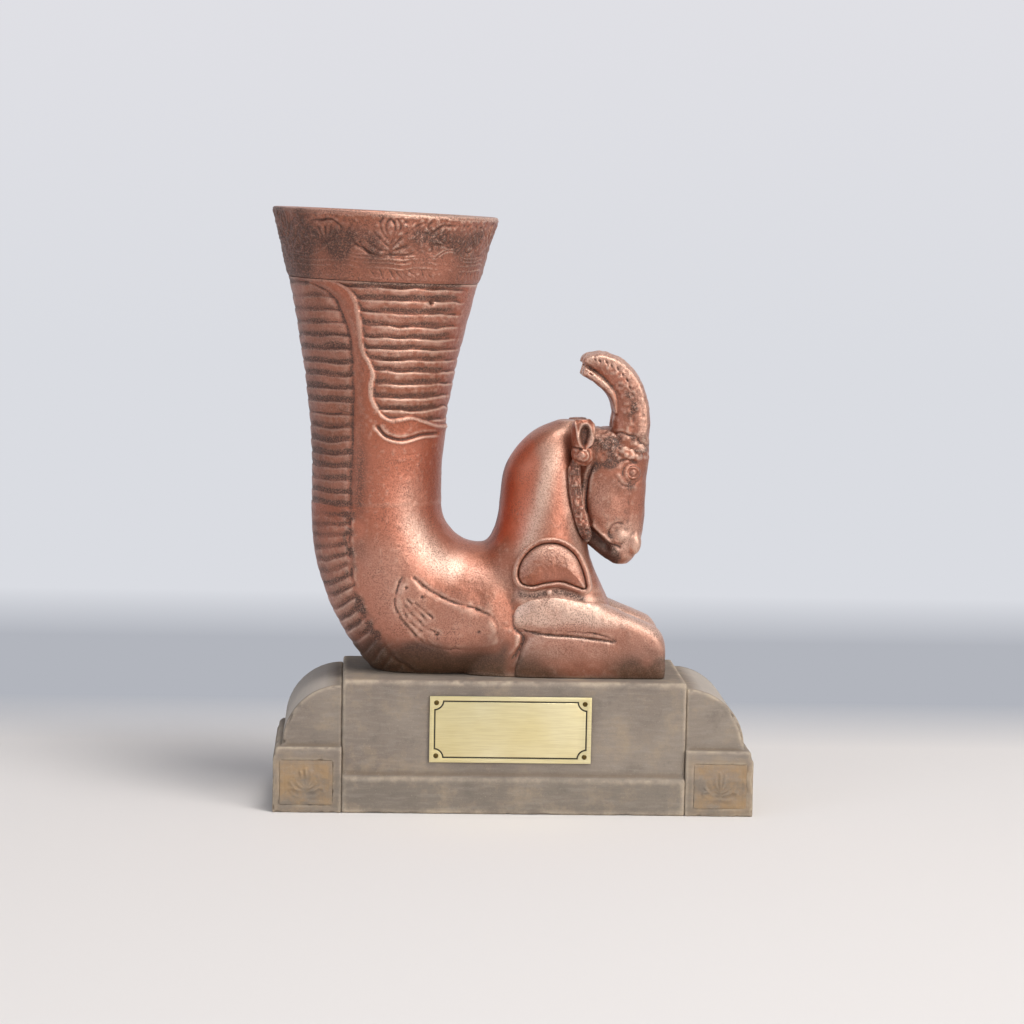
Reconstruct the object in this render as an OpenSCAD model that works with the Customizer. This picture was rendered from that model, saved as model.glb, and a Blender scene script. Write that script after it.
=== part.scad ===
// Goat rhyton: a fluted drinking horn that ends in a kneeling goat, on a cast plinth.
// Millimetres. X runs from the cup to the goat, -Y is the side with the nameplate, Z is up.
// The origin is on the table, at the middle of the plinth.

/* [Beaker] */
// Height of the middle of the rim above the table
rim_z = 178.8; // [172:0.1:186]
// Radius of the mouth
mouth_r = 33.9; // [31:0.1:37]
// Tilt of the rim, lower on the goat's side, in degrees
rim_tilt = 2; // [0:0.1:4]
// How late the beaker flares out, higher is later
flare = 1.55; // [1.3:0.05:2]
// Radius of the straight lower part
waist_r = 19.7; // [18.9:0.1:20.2]
// Thickness of the cup's wall
wall = 3.6; // [3:0.1:4]
// Height of the engraved band under the rim
band_h = 20.4; // [16:0.1:24]
// Distance from one flute to the next
flute_pitch = 3.75; // [3.2:0.05:4.5]
// Depth of a flute
flute_depth = 0.7; // [0.3:0.05:1]

/* [Elbow] */
// Height of the seam between beaker and elbow
seam_z = 91; // [90:0.1:93]
// Radius of the inside of the bend
bend_r = 11.8; // [10:0.1:13]
// Length of the beaker's spigot in the elbow's socket
spigot_l = 6; // [4:0.5:7]
// Height of the cup's floor above the table
floor_z = 54; // [52:0.5:58]

/* [Goat] */
// Distance from the middle plane to the middle of each foreleg
leg_y = 12.8; // [12:0.1:14]
// Distance from the middle plane to the middle of each horn
horn_y = 4.7; // [4.4:0.1:6]
// Tilt of the shoulder plates, top edge inwards, in degrees
plate_tilt = 10; // [6:1:14]

/* [Plinth] */
// Height of the plinth
plinth_h = 40; // [38:0.5:42]
// Width of the middle block
block_w = 103; // [100:0.5:106]
// Width of the whole plinth
plinth_w = 144; // [141:0.5:148]
// Depth of the whole plinth
plinth_d = 56; // [52:0.5:60]
// Height of the ledge at each end
ledge_z = 19.8; // [18:0.1:22]
// Radius of the rounded shoulders
shoulder_r = 17.8; // [16:0.1:18]
// Height of the band round the foot of the plinth
foot_band_h = 11; // [9:0.5:13]

/* [Nameplate] */
// Width of the brass plate
nameplate_w = 48.4; // [40:0.2:56]
// Height of the brass plate
nameplate_h = 20; // [16:0.2:22]
// Thickness of the brass plate
nameplate_t = 0.8; // [0.6:0.1:1.2]

/* [Hidden] */

$fn = 48;
COPPER = "#A8664F";
DARK_COPPER = "#7E4A39";
TAUPE = "#8F8780";
TILE_TAN = "#A58A6C";
BRASS = "#E6D692";
STEEL = "#9A9A9A";
FELT = "#3A4A38";
WOOD = "#C8A878";

// Front is -1, the side of the nameplate, and back is +1. The goat's right side faces front.
FRONT = -1;
BACK = 1;
TINY = 0.01;
BIG = 200;

// Cup: middle of the waist and of the mouth, and the middle of the bend
waist_x = -42.1;
mouth_x = -40.5;
flare_z = 100;
bend_x = waist_x + waist_r + bend_r;
band_z = rim_z - band_h;
spigot_r = waist_r - 2.2;
bore_r = waist_r - wall;
lip_h = 1.6;
band_t = 1.4;
band_proud = 0.45;
cup_sides = 36;

// Joint face between elbow and forepart: a leaning plane through these two points
joint_low = [0.5, plinth_h];
joint_high = [-8, 79.5];
joint_lean = atan2(joint_low[0] - joint_high[0], joint_high[1] - joint_low[1]);

// Fixings
screw_x = [-25, 14];
screw_d = 5;
insert_d = 8;
insert_l = 10;
washer_d = 11;
washer_t = 1;
counterbore_d = 13;
counterbore_h = 12;
screw_head_d = 9;
screw_head_h = 4.5;
hex_socket_d = 4.6;
hex_socket_h = 2.6;
dowel_d = 5;
dowel_l = 16;
dowel_y = 15;
dowel_z = 10;
felt_t = 1.5;
felt_inset = 4;

// Plinth: its face stands back from the foot band, with a small cove between them
face_y = plinth_d / 2 - 1.6;
cove_r = 1.1;
edge_r = 1.2;
wing_y = plinth_d / 2 - 2.4;
tile_x = 62;
tile_w = 15.4;
tile_h = 13;
tile_z = 2.6;
tile_t = 1.6;
tile_frame = 1.1;
tile_sunk = 0.5;

// Nameplate
nameplate_x = -1.2;
nameplate_z = 25.5;
line_inset = 1.3;
line_w = 0.45;
line_depth = 0.2;
line_corner_r = 2.6;
pin_inset = 2;
nameplate_pin_d = 1;
nameplate_pin_l = 6;
pin_head_d = 1.5;
pin_head_h = 0.35;

// Beads under the shoulder plates
pin_at = [10.4, 65];
pin_d = 1;
pin_l = 3;
bead_out = 1;
bead_d = 1.6;

// Small sums
function mix(a, b, t) = a + (b - a) * t;
function unit(t) = min(1, max(0, t));
function ease(t) = let (u = unit(t)) u * u * (3 - 2 * u);
function signed_power(v, e) = sign(v) * pow(abs(v), e);

// A row is [upper x, upper z, lower x, lower z, half width, squareness, y of the middle].
// A ring is a closed outline through the row's two points, square to the plane Y = 0.
function ring(row, sides, floor = -BIG) = [
    for (i = [0 : sides - 1])
        let (
            a = 360 * i / sides,
            power = 2 / row[5],
            up = signed_power(sin(a), power),
            out = signed_power(cos(a), power)
        )
        [
            (row[0] + row[2]) / 2 + (row[0] - row[2]) / 2 * up,
            row[6] + row[4] * out,
            max(floor, (row[1] + row[3]) / 2 + (row[1] - row[3]) / 2 * up)
        ]
];

// A smooth curve through the rows
function kept(rows, i) = rows[min(len(rows) - 1, max(0, i))];
function between(a, b, c, d, t) =
    (2 * b + (c - a) * t + (2 * a - 5 * b + 4 * c - d) * t * t + (3 * b - a - 3 * c + d) * t * t * t) / 2;
function at(rows, s) =
    let (i = min(len(rows) - 2, floor(s)))
    between(kept(rows, i - 1), kept(rows, i), kept(rows, i + 1), kept(rows, i + 2), s - i);
function smoothed(rows, steps) = [for (k = [0 : steps * (len(rows) - 1)]) at(rows, k / steps)];

// A skin over rings: closed into a tube, or capped at both ends.
// Rings go up, or from the goat's knee towards the cup, so that the faces point outwards.
module skin(rings, tube = false) {
    sides = len(rings[0]);
    count = len(rings);
    last = tube ? count - 1 : count - 2;
    walls = [
        for (j = [0 : last], i = [0 : sides - 1])
            let (
                next = (i + 1) % sides,
                above = (j + 1) % count,
                a = j * sides + i,
                b = j * sides + next,
                c = above * sides + next,
                d = above * sides + i
            )
            each [[a, b, c], [a, c, d]]
    ];
    caps = tube ? [] : [
        [for (i = [sides - 1 : -1 : 0]) i],
        [for (i = [0 : sides - 1]) (count - 1) * sides + i]
    ];
    polyhedron(points = [for (r = rings) each r], faces = concat(walls, caps), convexity = 8);
}

module form(rows, sides = 20, steps = 2, floor = -BIG) {
    skin([for (row = smoothed(rows, steps)) ring(row, sides, floor)]);
}

// Joins sculpted forms into one mesh
module carved() {
    resize([0, 0, 0]) children();
}

// The same piece on the back, or as it is on the front
module on_side(side) {
    mirror([0, side == BACK ? 1 : 0, 0]) children();
}

// Cup
function rise(z) = unit((z - flare_z) / (rim_z - flare_z));
function cup_r(z) = waist_r + (mouth_r - waist_r) * pow(rise(z), flare);
function cup_x(z) = mix(waist_x, mouth_x, rise(z));
function cup_row(z, r) =
    let (x = cup_x(z), drop = r * tan(rim_tilt * rise(z)))
    [x + r, z - drop, x - r, z + drop, r, 2, 0];

// Borders of the fluted fields, from -1 at the cup's back to 1 on the goat's side
function strip_edge(z) = -0.37 - 0.25 * pow(unit((z - 138) / 22), 2);
function panel_edge(z) = z > 131 ? -0.05 - 0.32 * pow(unit((z - 131) / 26), 0.7) : -0.08;
panel_low = 118;

function flute(s) = flute_depth * pow(0.5 + 0.5 * cos(360 * s / flute_pitch), 1.5);
function fluted(z, up) =
    let (
        in_strip = ease((strip_edge(z) - up) / 0.08),
        in_panel = ease((up - panel_edge(z)) / 0.08) * ease((z - panel_low) / 1.5)
    )
    max(in_strip, in_panel) * flute(z - seam_z - flute_pitch / 2);

function fluted_ring(z) =
    let (row = cup_row(z, cup_r(z)), plain = ring(row, cup_sides))
    [
        for (i = [0 : cup_sides - 1])
            let (
                a = 360 * i / cup_sides,
                d = fluted(z, sin(a)) / row[4],
                middle = [(row[0] + row[2]) / 2, 0, plain[i][2]]
            )
            mix(plain[i], middle, d)
    ];

function cup_ring(z, r) = ring(cup_row(z, r), cup_sides);

flutes = floor((band_z - seam_z) / flute_pitch);
flute_steps = [0, 0.35, 0.65];
flute_zs = [
    for (k = [0 : flutes - 1], s = flute_steps) seam_z + (k + s) * flute_pitch
];
inner_zs = [for (k = [0 : 9]) mix(band_z, seam_z - spigot_l, k / 9)];
band_zs = [for (k = [0 : 5]) mix(band_z, rim_z, k / 5)];

module beaker() {
    lip_z = rim_z - lip_h;
    color(COPPER) skin(concat(
        [cup_ring(seam_z - spigot_l, spigot_r), cup_ring(seam_z, spigot_r)],
        [for (z = flute_zs) fluted_ring(z)],
        [cup_ring(band_z, cup_r(band_z))],
        [for (z = band_zs) cup_ring(min(z, lip_z), cup_r(z) - band_t)],
        [cup_ring(lip_z, cup_r(rim_z) - wall)],
        [for (z = inner_zs) cup_ring(z, cup_r(z) - wall)]
    ), tube = true);
}

module rim_band() {
    lip_z = rim_z - lip_h;
    color(DARK_COPPER) skin(concat(
        [for (z = band_zs) cup_ring(z, cup_r(z) + band_proud)],
        [cup_ring(rim_z, cup_r(rim_z) - wall), cup_ring(lip_z, cup_r(rim_z) - wall)],
        [for (k = [5 : -1 : 0]) cup_ring(min(band_zs[k], lip_z), cup_r(band_zs[k]) - band_t)]
    ), tube = true);
}

// Elbow: rings fan out from the middle of the bend, from level to upright
function reach(turn) = turn < 60
    ? 2 * waist_r + bend_r + 9.5 * pow(turn / 60, 1.8)
    : mix(2 * waist_r + bend_r + 9.5, 54.5, ease((turn - 60) / 30));
function bend_point(turn, d) = [bend_x - d * cos(turn), seam_z - d * sin(turn)];
function bend_row(turn, near, far, half) =
    let (p = bend_point(turn, near), q = bend_point(turn, far))
    [p[0], p[1], q[0], q[1], half, 2, 0];

function elbow_strip(turn) = -0.4 - 0.3 * ease(turn / 50);
// Length along the outside of the bend, in flute pitches
function outer_run(turn) = turn * 0.97 / flute_pitch;
function elbow_ring(turn) =
    let (
        row = bend_row(turn, bend_r, reach(turn), waist_r),
        plain = ring(row, cup_sides, plinth_h),
        middle = [(row[0] + row[2]) / 2, 0, (row[1] + row[3]) / 2],
        cut = flute((outer_run(turn) + 0.5) * flute_pitch) / row[4]
    )
    [
        for (i = [0 : cup_sides - 1])
            let (
                up = sin(360 * i / cup_sides),
                inside = ease((elbow_strip(turn) - up) / 0.08),
                above = plain[i][2] > plinth_h ? 1 : 0
            )
            mix(plain[i], middle, cut * inside * above)
    ];

elbow_ribs = 15;
elbow_turns = [
    for (k = [0 : elbow_ribs - 1], s = flute_steps)
        if (k + s > 0) (k + s) * flute_pitch / 0.97
];
past_joint_row = [-5, 80, 4.5, plinth_h - 4, 17.6, 2.2, 0];
upright_row = [bend_x, seam_z - bend_r, bend_x, 36.5, 19.3, 2, 0];
lean_row = [-9.2, 79.2, -3.5, 36.2, 19.2, 2.1, 0];
foot_turns = [82, 74, 66];

cavity_rows = [
    for (turn = [0 : 12 : 60])
        bend_row(turn, bend_r + wall, reach(turn) - wall, bore_r + 0.6 * ease(turn / 30))
];
cavity_end = [-18, 70, -24, 57, 7, 2, 0];

module elbow_form() {
    socket_z = seam_z - spigot_l;
    skin(concat(
        [for (row = [past_joint_row, lean_row, upright_row]) ring(row, cup_sides, plinth_h)],
        [for (turn = foot_turns) ring(bend_row(turn, bend_r, reach(turn), waist_r), cup_sides, plinth_h)],
        [for (k = [len(elbow_turns) - 1 : -1 : 0]) elbow_ring(elbow_turns[k])],
        [cup_ring(seam_z, waist_r), cup_ring(seam_z, spigot_r)],
        [cup_ring(socket_z, spigot_r), cup_ring(socket_z, bore_r)],
        [for (k = [1 : len(cavity_rows) - 1]) ring(cavity_rows[k], cup_sides, floor_z)],
        [ring(cavity_end, cup_sides)]
    ));
}

module elbow() {
    color(COPPER) difference() {
        carved() difference() {
            elbow_form();
            beyond_joint(1);
        }
        insert_hole(screw_x[0]);
    }
}

// Goat
forepart_rows = [
    [28, 38, -16, 38, 17, 4, 0],
    [29, 50, -16, 50, 17.6, 4, 0],
    [29.3, 60, -16, 60, 17.6, 4, 0],
    [27.8, 66, -15, 66, 17.1, 3.6, 0],
    [25, 72, -12.5, 72, 16.4, 3.2, 0],
    [22.8, 78, -9, 78, 15.4, 2.6, 0],
    [22.2, 84, -5.8, 84, 14.2, 2.2, 0],
    [21.5, 92, -4.6, 92, 13.2, 2.2, 0],
    [20.5, 100, -3.7, 100, 12.4, 2.2, 0],
    [19.8, 105, -1.8, 105, 11.6, 2.2, 0],
    [19.3, 110, 1.8, 110, 10.2, 2.1, 0],
    [19, 114, 6.5, 114, 7.8, 2, 0],
    [18.4, 116.8, 13, 116.8, 3.6, 2, 0]
];

head_rows = [
    [34.5, 73, 30.5, 73, 2.4, 2, 0],
    [36.6, 75, 27.6, 75, 4.7, 2.2, 0],
    [38.2, 78, 23.5, 78, 5.7, 2.3, 0],
    [39.1, 82, 20, 82, 6.7, 2.3, 0],
    [39.7, 88, 16, 88, 8.1, 2.3, 0],
    [39.9, 94, 15, 94, 9.3, 2.3, 0],
    [40.2, 100, 15, 100, 9.8, 2.3, 0],
    [40.6, 105, 15, 105, 9.6, 2.3, 0],
    [40.7, 109, 16, 109, 8.9, 2.3, 0],
    [40, 112.6, 18, 112.6, 7.4, 2.2, 0],
    [36.5, 114.6, 21, 114.6, 4.6, 2, 0]
];

horn_rows = [
    [40, 108, 29.3, 108, 4.2, 2.4, 0],
    [40.3, 114, 28.9, 115.5, 4.2, 2.4, 0],
    [40.3, 119, 29.4, 119.5, 4.1, 2.4, 0],
    [39.4, 124.5, 28.5, 122.8, 4, 2.4, 0],
    [37, 130.3, 26.7, 125.5, 3.8, 2.4, 0],
    [32.4, 135.2, 24, 127.8, 3.4, 2.3, 0],
    [26.5, 137.6, 21.6, 129.5, 3, 2.2, 0],
    [21.5, 137.2, 19.4, 130.7, 2.2, 2.1, 0],
    [19.7, 135.6, 18.9, 132.4, 1.1, 2, 0]
];

ear_rows = [
    [21, 104.4, 17.6, 104.4, 1.6, 2, -10.8],
    [21.3, 107, 17.3, 107, 2.6, 2, -11],
    [20.8, 109.4, 17.4, 109.4, 2.2, 2, -11.2],
    [22.4, 113, 16.6, 113, 3, 2.2, -11.2],
    [23.3, 116, 16.3, 116, 3.1, 2.2, -11],
    [22.6, 118.4, 16.8, 118.4, 2, 2.2, -10.6]
];

foreleg_rows = [
    [47.3, 48.6, 47.3, 45, 2.6, 2, -leg_y],
    [46.6, 50.6, 46.6, 43.8, 4.8, 2.1, -leg_y],
    [44, 53.8, 44, 43.5, 6.2, 2.3, -leg_y],
    [39, 56.6, 39, 45, 6.5, 2.4, -leg_y],
    [32, 58.9, 32, 48, 6.6, 2.4, -leg_y],
    [24, 60.8, 24, 50, 6.7, 2.4, -leg_y],
    [14, 62, 14, 50.8, 6.7, 2.4, -leg_y],
    [5, 61.8, 5, 50.8, 6.4, 2.4, -leg_y],
    [0.4, 60.6, 0.4, 51.8, 5.2, 2.2, -leg_y],
    [-1.4, 58.3, -1.4, 54, 2.6, 2, -leg_y]
];

shank_rows = [
    [47, 48.6, 47, 38.5, 4.6, 2.2, -leg_y],
    [45, 51, 45, 37.5, 6, 2.4, -leg_y],
    [39, 52, 39, 37.5, 6.5, 2.6, -leg_y],
    [29, 51.4, 29, 37.5, 6.4, 2.6, -leg_y],
    [18, 52.4, 18, 37.5, 6.4, 2.6, -leg_y],
    [8, 52, 8, 37.5, 6.2, 2.6, -leg_y],
    [3, 50, 3, 39, 5, 2.2, -leg_y],
    [1.6, 47.5, 1.6, 41.5, 2.6, 2, -leg_y]
];

// Ruff: a tufted strip over the joint of head and neck, from its low end up
ruff_low = [22.8, 80.4, -10.2];
ruff_top = [16.9, 104.4, -11.2];
ruff_sag = 1.6;
ruff_tufts = 9;
ruff_half = 1.9;
function ruff_point(t) =
    mix(ruff_low, ruff_top, t) - [ruff_sag * sin(180 * t), 0, 1.6 * sin(180 * t)];
ruff_rows = [
    for (k = [0 : 2 * ruff_tufts])
        let (
            p = ruff_point(k / (2 * ruff_tufts)),
            fat = ruff_half * (k % 2 == 0 ? 0.82 : 1.05)
        )
        [p[0] + fat, p[1] + 0.5, p[0] - fat, p[1] - 0.5, fat * 0.9, 2, p[2]]
];

// Shoulder plate: a half moon with a waved lower edge, as seen from the front
plate_pivot = [10.8, 66];
plate_y = -17.9;
plate_in = 4.6;
plate_rim_w = 1.7;
plate_rim_h = 0.9;
function plate_outline(s) = concat(
    [for (a = [0 : 12 : 180]) [11 + 12 * s * cos(a), 69.6 + 12.8 * s * sin(a)]],
    [for (a = [0 : 15 : 90]) [2.4 - 3.4 * s * cos(a) + 0.6 * (1 - s), 69.6 - 3 * s * sin(a)]],
    [for (k = [1 : 7]) [mix(2.4, 19.6, k / 8), 68 - 1.4 * s - 1.6 * cos(360 * k / 8 - 16) * s]],
    [for (a = [90 : -15 : 15]) [19.6 + 3.4 * s * cos(a), 69.6 - 4.6 * s * sin(a)]]
);

ear_hollow_at = [19.9, -14.4, 114.9];
ear_hollow = [1.7, 2.2, 3];

eye_at = [35.3, -8.4, 101.5];
eye_r = 2.7;
eye_peg_r = 1.6;
eye_peg_l = 3;
eye_profile = [
    [0, -eye_peg_l], [eye_peg_r, -eye_peg_l], [eye_peg_r, 0],
    [eye_r, 0], [eye_r, 0.6], [eye_r - 0.35, 1],
    [eye_r - 0.8, 0.6], [1.5, 0.6], [1.2, 1], [0.7, 1.4], [0, 1.5]
];

neck_dowel_x = 19.5;
neck_dowel_z = 96;
neck_dowel_d = 6;
neck_dowel_l = 18;
peg_d = 3;
peg_l = 9;
peg_x = 34.8;
peg_z = 108;

module forepart_form() { form(forepart_rows, 24, 2, plinth_h); }
module head_form() { form(head_rows, 20, 2); }
module horn_form(side) { translate([0, side * horn_y, 0]) form(horn_rows, 16, 2); }
module foreleg_form(side) {
    on_side(side) {
        form(foreleg_rows, 16, 1);
        form(shank_rows, 16, 1, plinth_h);
    }
}
module ruff_form(side) { on_side(side) form(ruff_rows, 8, 1); }

module ear_form(side) { on_side(side) form(ear_rows, 12, 1); }

// Room for the eye: a hole for its peg and a flat seat for its rim
module eye_pocket(side) {
    on_side(side) translate(eye_at) rotate([90, 0, 0]) {
        translate([0, 0, -eye_peg_l]) cylinder(r = eye_peg_r, h = eye_peg_l + TINY);
        cylinder(r = eye_r, h = 3);
    }
}

module plate_form(side, grow = 0) {
    on_side(side)
        translate([plate_pivot[0], plate_y, plate_pivot[1]])
        rotate([90 - plate_tilt, 0, 0])
        translate([-plate_pivot[0], -plate_pivot[1], -plate_in])
        linear_extrude(plate_in + grow) polygon(plate_outline(1));
}

// Everything beyond the joint face: on the elbow's side with -1, on the goat's side with 1
module beyond_joint(side) {
    translate([joint_low[0], 0, joint_low[1]]) rotate([0, -joint_lean, 0])
        translate([side < 0 ? -BIG : 0, -BIG / 2, -BIG / 2]) cube([BIG, BIG, BIG * 2]);
}

module insert_hole(x) {
    translate([x, 0, plinth_h - TINY]) cylinder(d = insert_d, h = insert_l + TINY);
}

module neck_dowel_hole() {
    translate([neck_dowel_x - neck_dowel_l / 2, 0, neck_dowel_z]) rotate([0, 90, 0])
        cylinder(d = neck_dowel_d, h = neck_dowel_l);
}

module horn_peg_hole(side) {
    translate([peg_x, side * horn_y, peg_z]) cylinder(d = peg_d, h = peg_l);
}

module shoulder_pin_hole(side, past = 0) {
    on_side(side) translate([pin_at[0], plate_y, pin_at[1]]) rotate([90, 0, 0])
        translate([0, 0, -pin_l]) cylinder(d = pin_d, h = pin_l + bead_out + past);
}

module forepart() {
    color(COPPER) difference() {
        carved() difference() {
            forepart_form();
            beyond_joint(-1);
            for (side = [FRONT, BACK]) {
                foreleg_form(side);
                plate_form(side, 2);
                ruff_form(side);
                ear_form(side);
            }
        }
        insert_hole(screw_x[1]);
        neck_dowel_hole();
        for (side = [FRONT, BACK]) shoulder_pin_hole(side, 1);
    }
}

module head() {
    color(COPPER) difference() {
        carved() difference() {
            head_form();
            forepart_form();
            for (side = [FRONT, BACK]) {
                ruff_form(side);
                ear_form(side);
            }
        }
        neck_dowel_hole();
        for (side = [FRONT, BACK]) {
            eye_pocket(side);
            horn_peg_hole(side);
        }
    }
}

module horn(side) {
    color(COPPER) difference() {
        carved() difference() {
            horn_form(side);
            head_form();
        }
        horn_peg_hole(side);
    }
}

module ear(side) {
    color(COPPER) carved() difference() {
        ear_form(side);
        ruff_form(side);
        on_side(side) translate(ear_hollow_at) scale(ear_hollow) sphere(r = 1, $fn = 16);
    }
}

module eye(side) {
    color(DARK_COPPER) on_side(side) translate(eye_at) rotate([90, 0, 0])
        rotate_extrude() polygon(eye_profile);
}

module ruff(side) {
    color(DARK_COPPER) carved() ruff_form(side);
}

module foreleg(side) {
    color(COPPER) carved() foreleg_form(side);
}

module shoulder_plate(side) {
    color(COPPER) on_side(side)
        translate([plate_pivot[0], plate_y, plate_pivot[1]])
        rotate([90 - plate_tilt, 0, 0])
        translate([-plate_pivot[0], -plate_pivot[1], -plate_in]) {
            linear_extrude(plate_in) polygon(plate_outline(1));
            linear_extrude(plate_in + plate_rim_h) difference() {
                polygon(plate_outline(1));
                polygon(plate_outline(0.84));
            }
        }
}

module neck_dowel() {
    color(STEEL) neck_dowel_hole();
}

module horn_pegs() {
    color(STEEL) for (side = [FRONT, BACK]) horn_peg_hole(side);
}

// Beads under the shoulder plates
module shoulder_pins() {
    color(COPPER) for (side = [FRONT, BACK]) {
        shoulder_pin_hole(side);
        translate([pin_at[0], side * (-plate_y + bead_out), pin_at[1]]) sphere(d = bead_d);
    }
}

// Fixings between cup, goat and plinth
module foot_inserts() {
    color(BRASS) for (x = screw_x) translate([x, 0, plinth_h]) difference() {
        cylinder(d = insert_d, h = insert_l);
        translate([0, 0, -TINY]) cylinder(d = screw_d, h = insert_l + 2 * TINY);
    }
}

module foot_screws() {
    color(STEEL) for (x = screw_x) translate([x, 0, counterbore_h - washer_t]) difference() {
        union() {
            cylinder(d = screw_d, h = plinth_h - counterbore_h + washer_t + insert_l - 1);
            translate([0, 0, -screw_head_h]) cylinder(d = screw_head_d, h = screw_head_h);
        }
        translate([0, 0, -screw_head_h - TINY]) cylinder(d = hex_socket_d, h = hex_socket_h, $fn = 6);
    }
}

module foot_washers() {
    color(STEEL) for (x = screw_x) translate([x, 0, counterbore_h - washer_t]) difference() {
        cylinder(d = washer_d, h = washer_t);
        translate([0, 0, -TINY]) cylinder(d = screw_d, h = washer_t + 2 * TINY);
    }
}

// Plinth
module dowel_holes(side) {
    for (y = [-dowel_y, dowel_y])
        translate([side * block_w / 2 - dowel_l / 2, y, dowel_z])
            rotate([0, 90, 0]) cylinder(d = dowel_d, h = dowel_l);
}

module felt_form() {
    translate([-plinth_w / 2 + felt_inset, -plinth_d / 2 + felt_inset, 0])
        cube([plinth_w - 2 * felt_inset, plinth_d - 2 * felt_inset, felt_t]);
}

// Half of the block's outline, from its foot to its top
block_half = [
    [plinth_d / 2, 0], [plinth_d / 2, foot_band_h - 0.6],
    [plinth_d / 2 - 0.5, foot_band_h],
    for (a = [0 : 22.5 : 90])
        [face_y + cove_r - cove_r * sin(a), foot_band_h + cove_r - cove_r * cos(a)],
    [face_y, plinth_h - edge_r],
    for (a = [0 : 22.5 : 90])
        [face_y - edge_r + edge_r * cos(a), plinth_h - edge_r + edge_r * sin(a)]
];
function block_side(side, first, last) = [
    for (k = [first : sign(last - first) : last]) [side * block_half[k][0], block_half[k][1]]
];

module plinth_block() {
    color(TAUPE) difference() {
        rotate([90, 0, 90]) translate([0, 0, -block_w / 2]) linear_extrude(block_w)
            polygon(concat(block_side(1, 0, len(block_half) - 1), block_side(-1, len(block_half) - 1, 0)));
        felt_form();
        for (x = screw_x) {
            translate([x, 0, 0]) cylinder(d = counterbore_d, h = counterbore_h);
            translate([x, 0, 0]) cylinder(d = screw_d, h = plinth_h + 1);
        }
        for (side = [-1, 1]) dowel_holes(side);
        for (x = [-1, 1], z = [-1, 1]) nameplate_pin_hole(x, z);
    }
}

module plinth_wing(side) {
    x = block_w / 2;
    end = plinth_w / 2;
    color(TAUPE) difference() {
        mirror([side < 0 ? 1 : 0, 0, 0]) union() {
            translate([0, wing_y, 0]) rotate([90, 0, 0]) linear_extrude(2 * wing_y) polygon(concat(
                [[x, ledge_z - 2], [x + shoulder_r + 0.4, ledge_z - 2]],
                [for (a = [0 : 7.5 : 90]) [x + shoulder_r * cos(a), ledge_z + 0.6 + shoulder_r * sin(a)]]
            ));
            translate([0, plinth_d / 2, 0]) rotate([90, 0, 0]) linear_extrude(plinth_d) polygon([
                [x, 0], [end, 0], [end, ledge_z - 3.2], [end - 0.6, ledge_z - 2.4],
                [end - 0.8, ledge_z - 0.4], [end - 1.4, ledge_z], [x, ledge_z]
            ]);
        }
        felt_form();
        dowel_holes(side);
        for (face = [FRONT, BACK]) tile_form(side, face);
    }
}

module plinth_dowels() {
    color(WOOD) for (side = [-1, 1]) dowel_holes(side);
}

// Corner tile: a thin panel let into the foot of the plinth
module tile_form(side, face) {
    translate([side * tile_x - tile_w / 2, face == BACK ? plinth_d / 2 - tile_t : -plinth_d / 2, tile_z])
        cube([tile_w, tile_t, tile_h]);
}

module corner_tile(side, face) {
    color(TILE_TAN) difference() {
        tile_form(side, face);
        translate([
            side * tile_x - tile_w / 2 + tile_frame,
            face == BACK ? plinth_d / 2 - tile_sunk : -plinth_d / 2 - TINY,
            tile_z + tile_frame
        ])
            cube([tile_w - 2 * tile_frame, tile_sunk + TINY, tile_h - 2 * tile_frame]);
    }
}

// Nameplate, with a border line whose corners turn inwards
module nameplate_line(inset) {
    difference() {
        square([nameplate_w - 2 * inset, nameplate_h - 2 * inset], center = true);
        for (x = [-1, 1], z = [-1, 1])
            translate([x * (nameplate_w / 2 - line_inset), z * (nameplate_h / 2 - line_inset)])
                circle(r = line_corner_r + inset - line_inset);
    }
}

module nameplate_pin_hole(x, z) {
    translate([nameplate_x, -face_y - nameplate_t, nameplate_z])
        translate([x * (nameplate_w / 2 - pin_inset), 0, z * (nameplate_h / 2 - pin_inset)])
        rotate([-90, 0, 0]) cylinder(d = nameplate_pin_d, h = nameplate_pin_l);
}

module nameplate() {
    color(BRASS) difference() {
        translate([nameplate_x, -face_y, nameplate_z]) rotate([90, 0, 0]) difference() {
            translate([-nameplate_w / 2, -nameplate_h / 2, 0])
                cube([nameplate_w, nameplate_h, nameplate_t]);
            translate([0, 0, nameplate_t - line_depth]) linear_extrude(1) difference() {
                nameplate_line(line_inset);
                nameplate_line(line_inset + line_w);
            }
        }
        for (x = [-1, 1], z = [-1, 1]) nameplate_pin_hole(x, z);
    }
}

module nameplate_pins() {
    color(BRASS) for (x = [-1, 1], z = [-1, 1]) {
        nameplate_pin_hole(x, z);
        translate([nameplate_x, -face_y - nameplate_t, nameplate_z])
            translate([x * (nameplate_w / 2 - pin_inset), 0, z * (nameplate_h / 2 - pin_inset)])
            rotate([90, 0, 0]) cylinder(d1 = pin_head_d, d2 = pin_head_d * 0.6, h = pin_head_h);
    }
}

module felt_pad() {
    color(FELT) felt_form();
}

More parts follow.
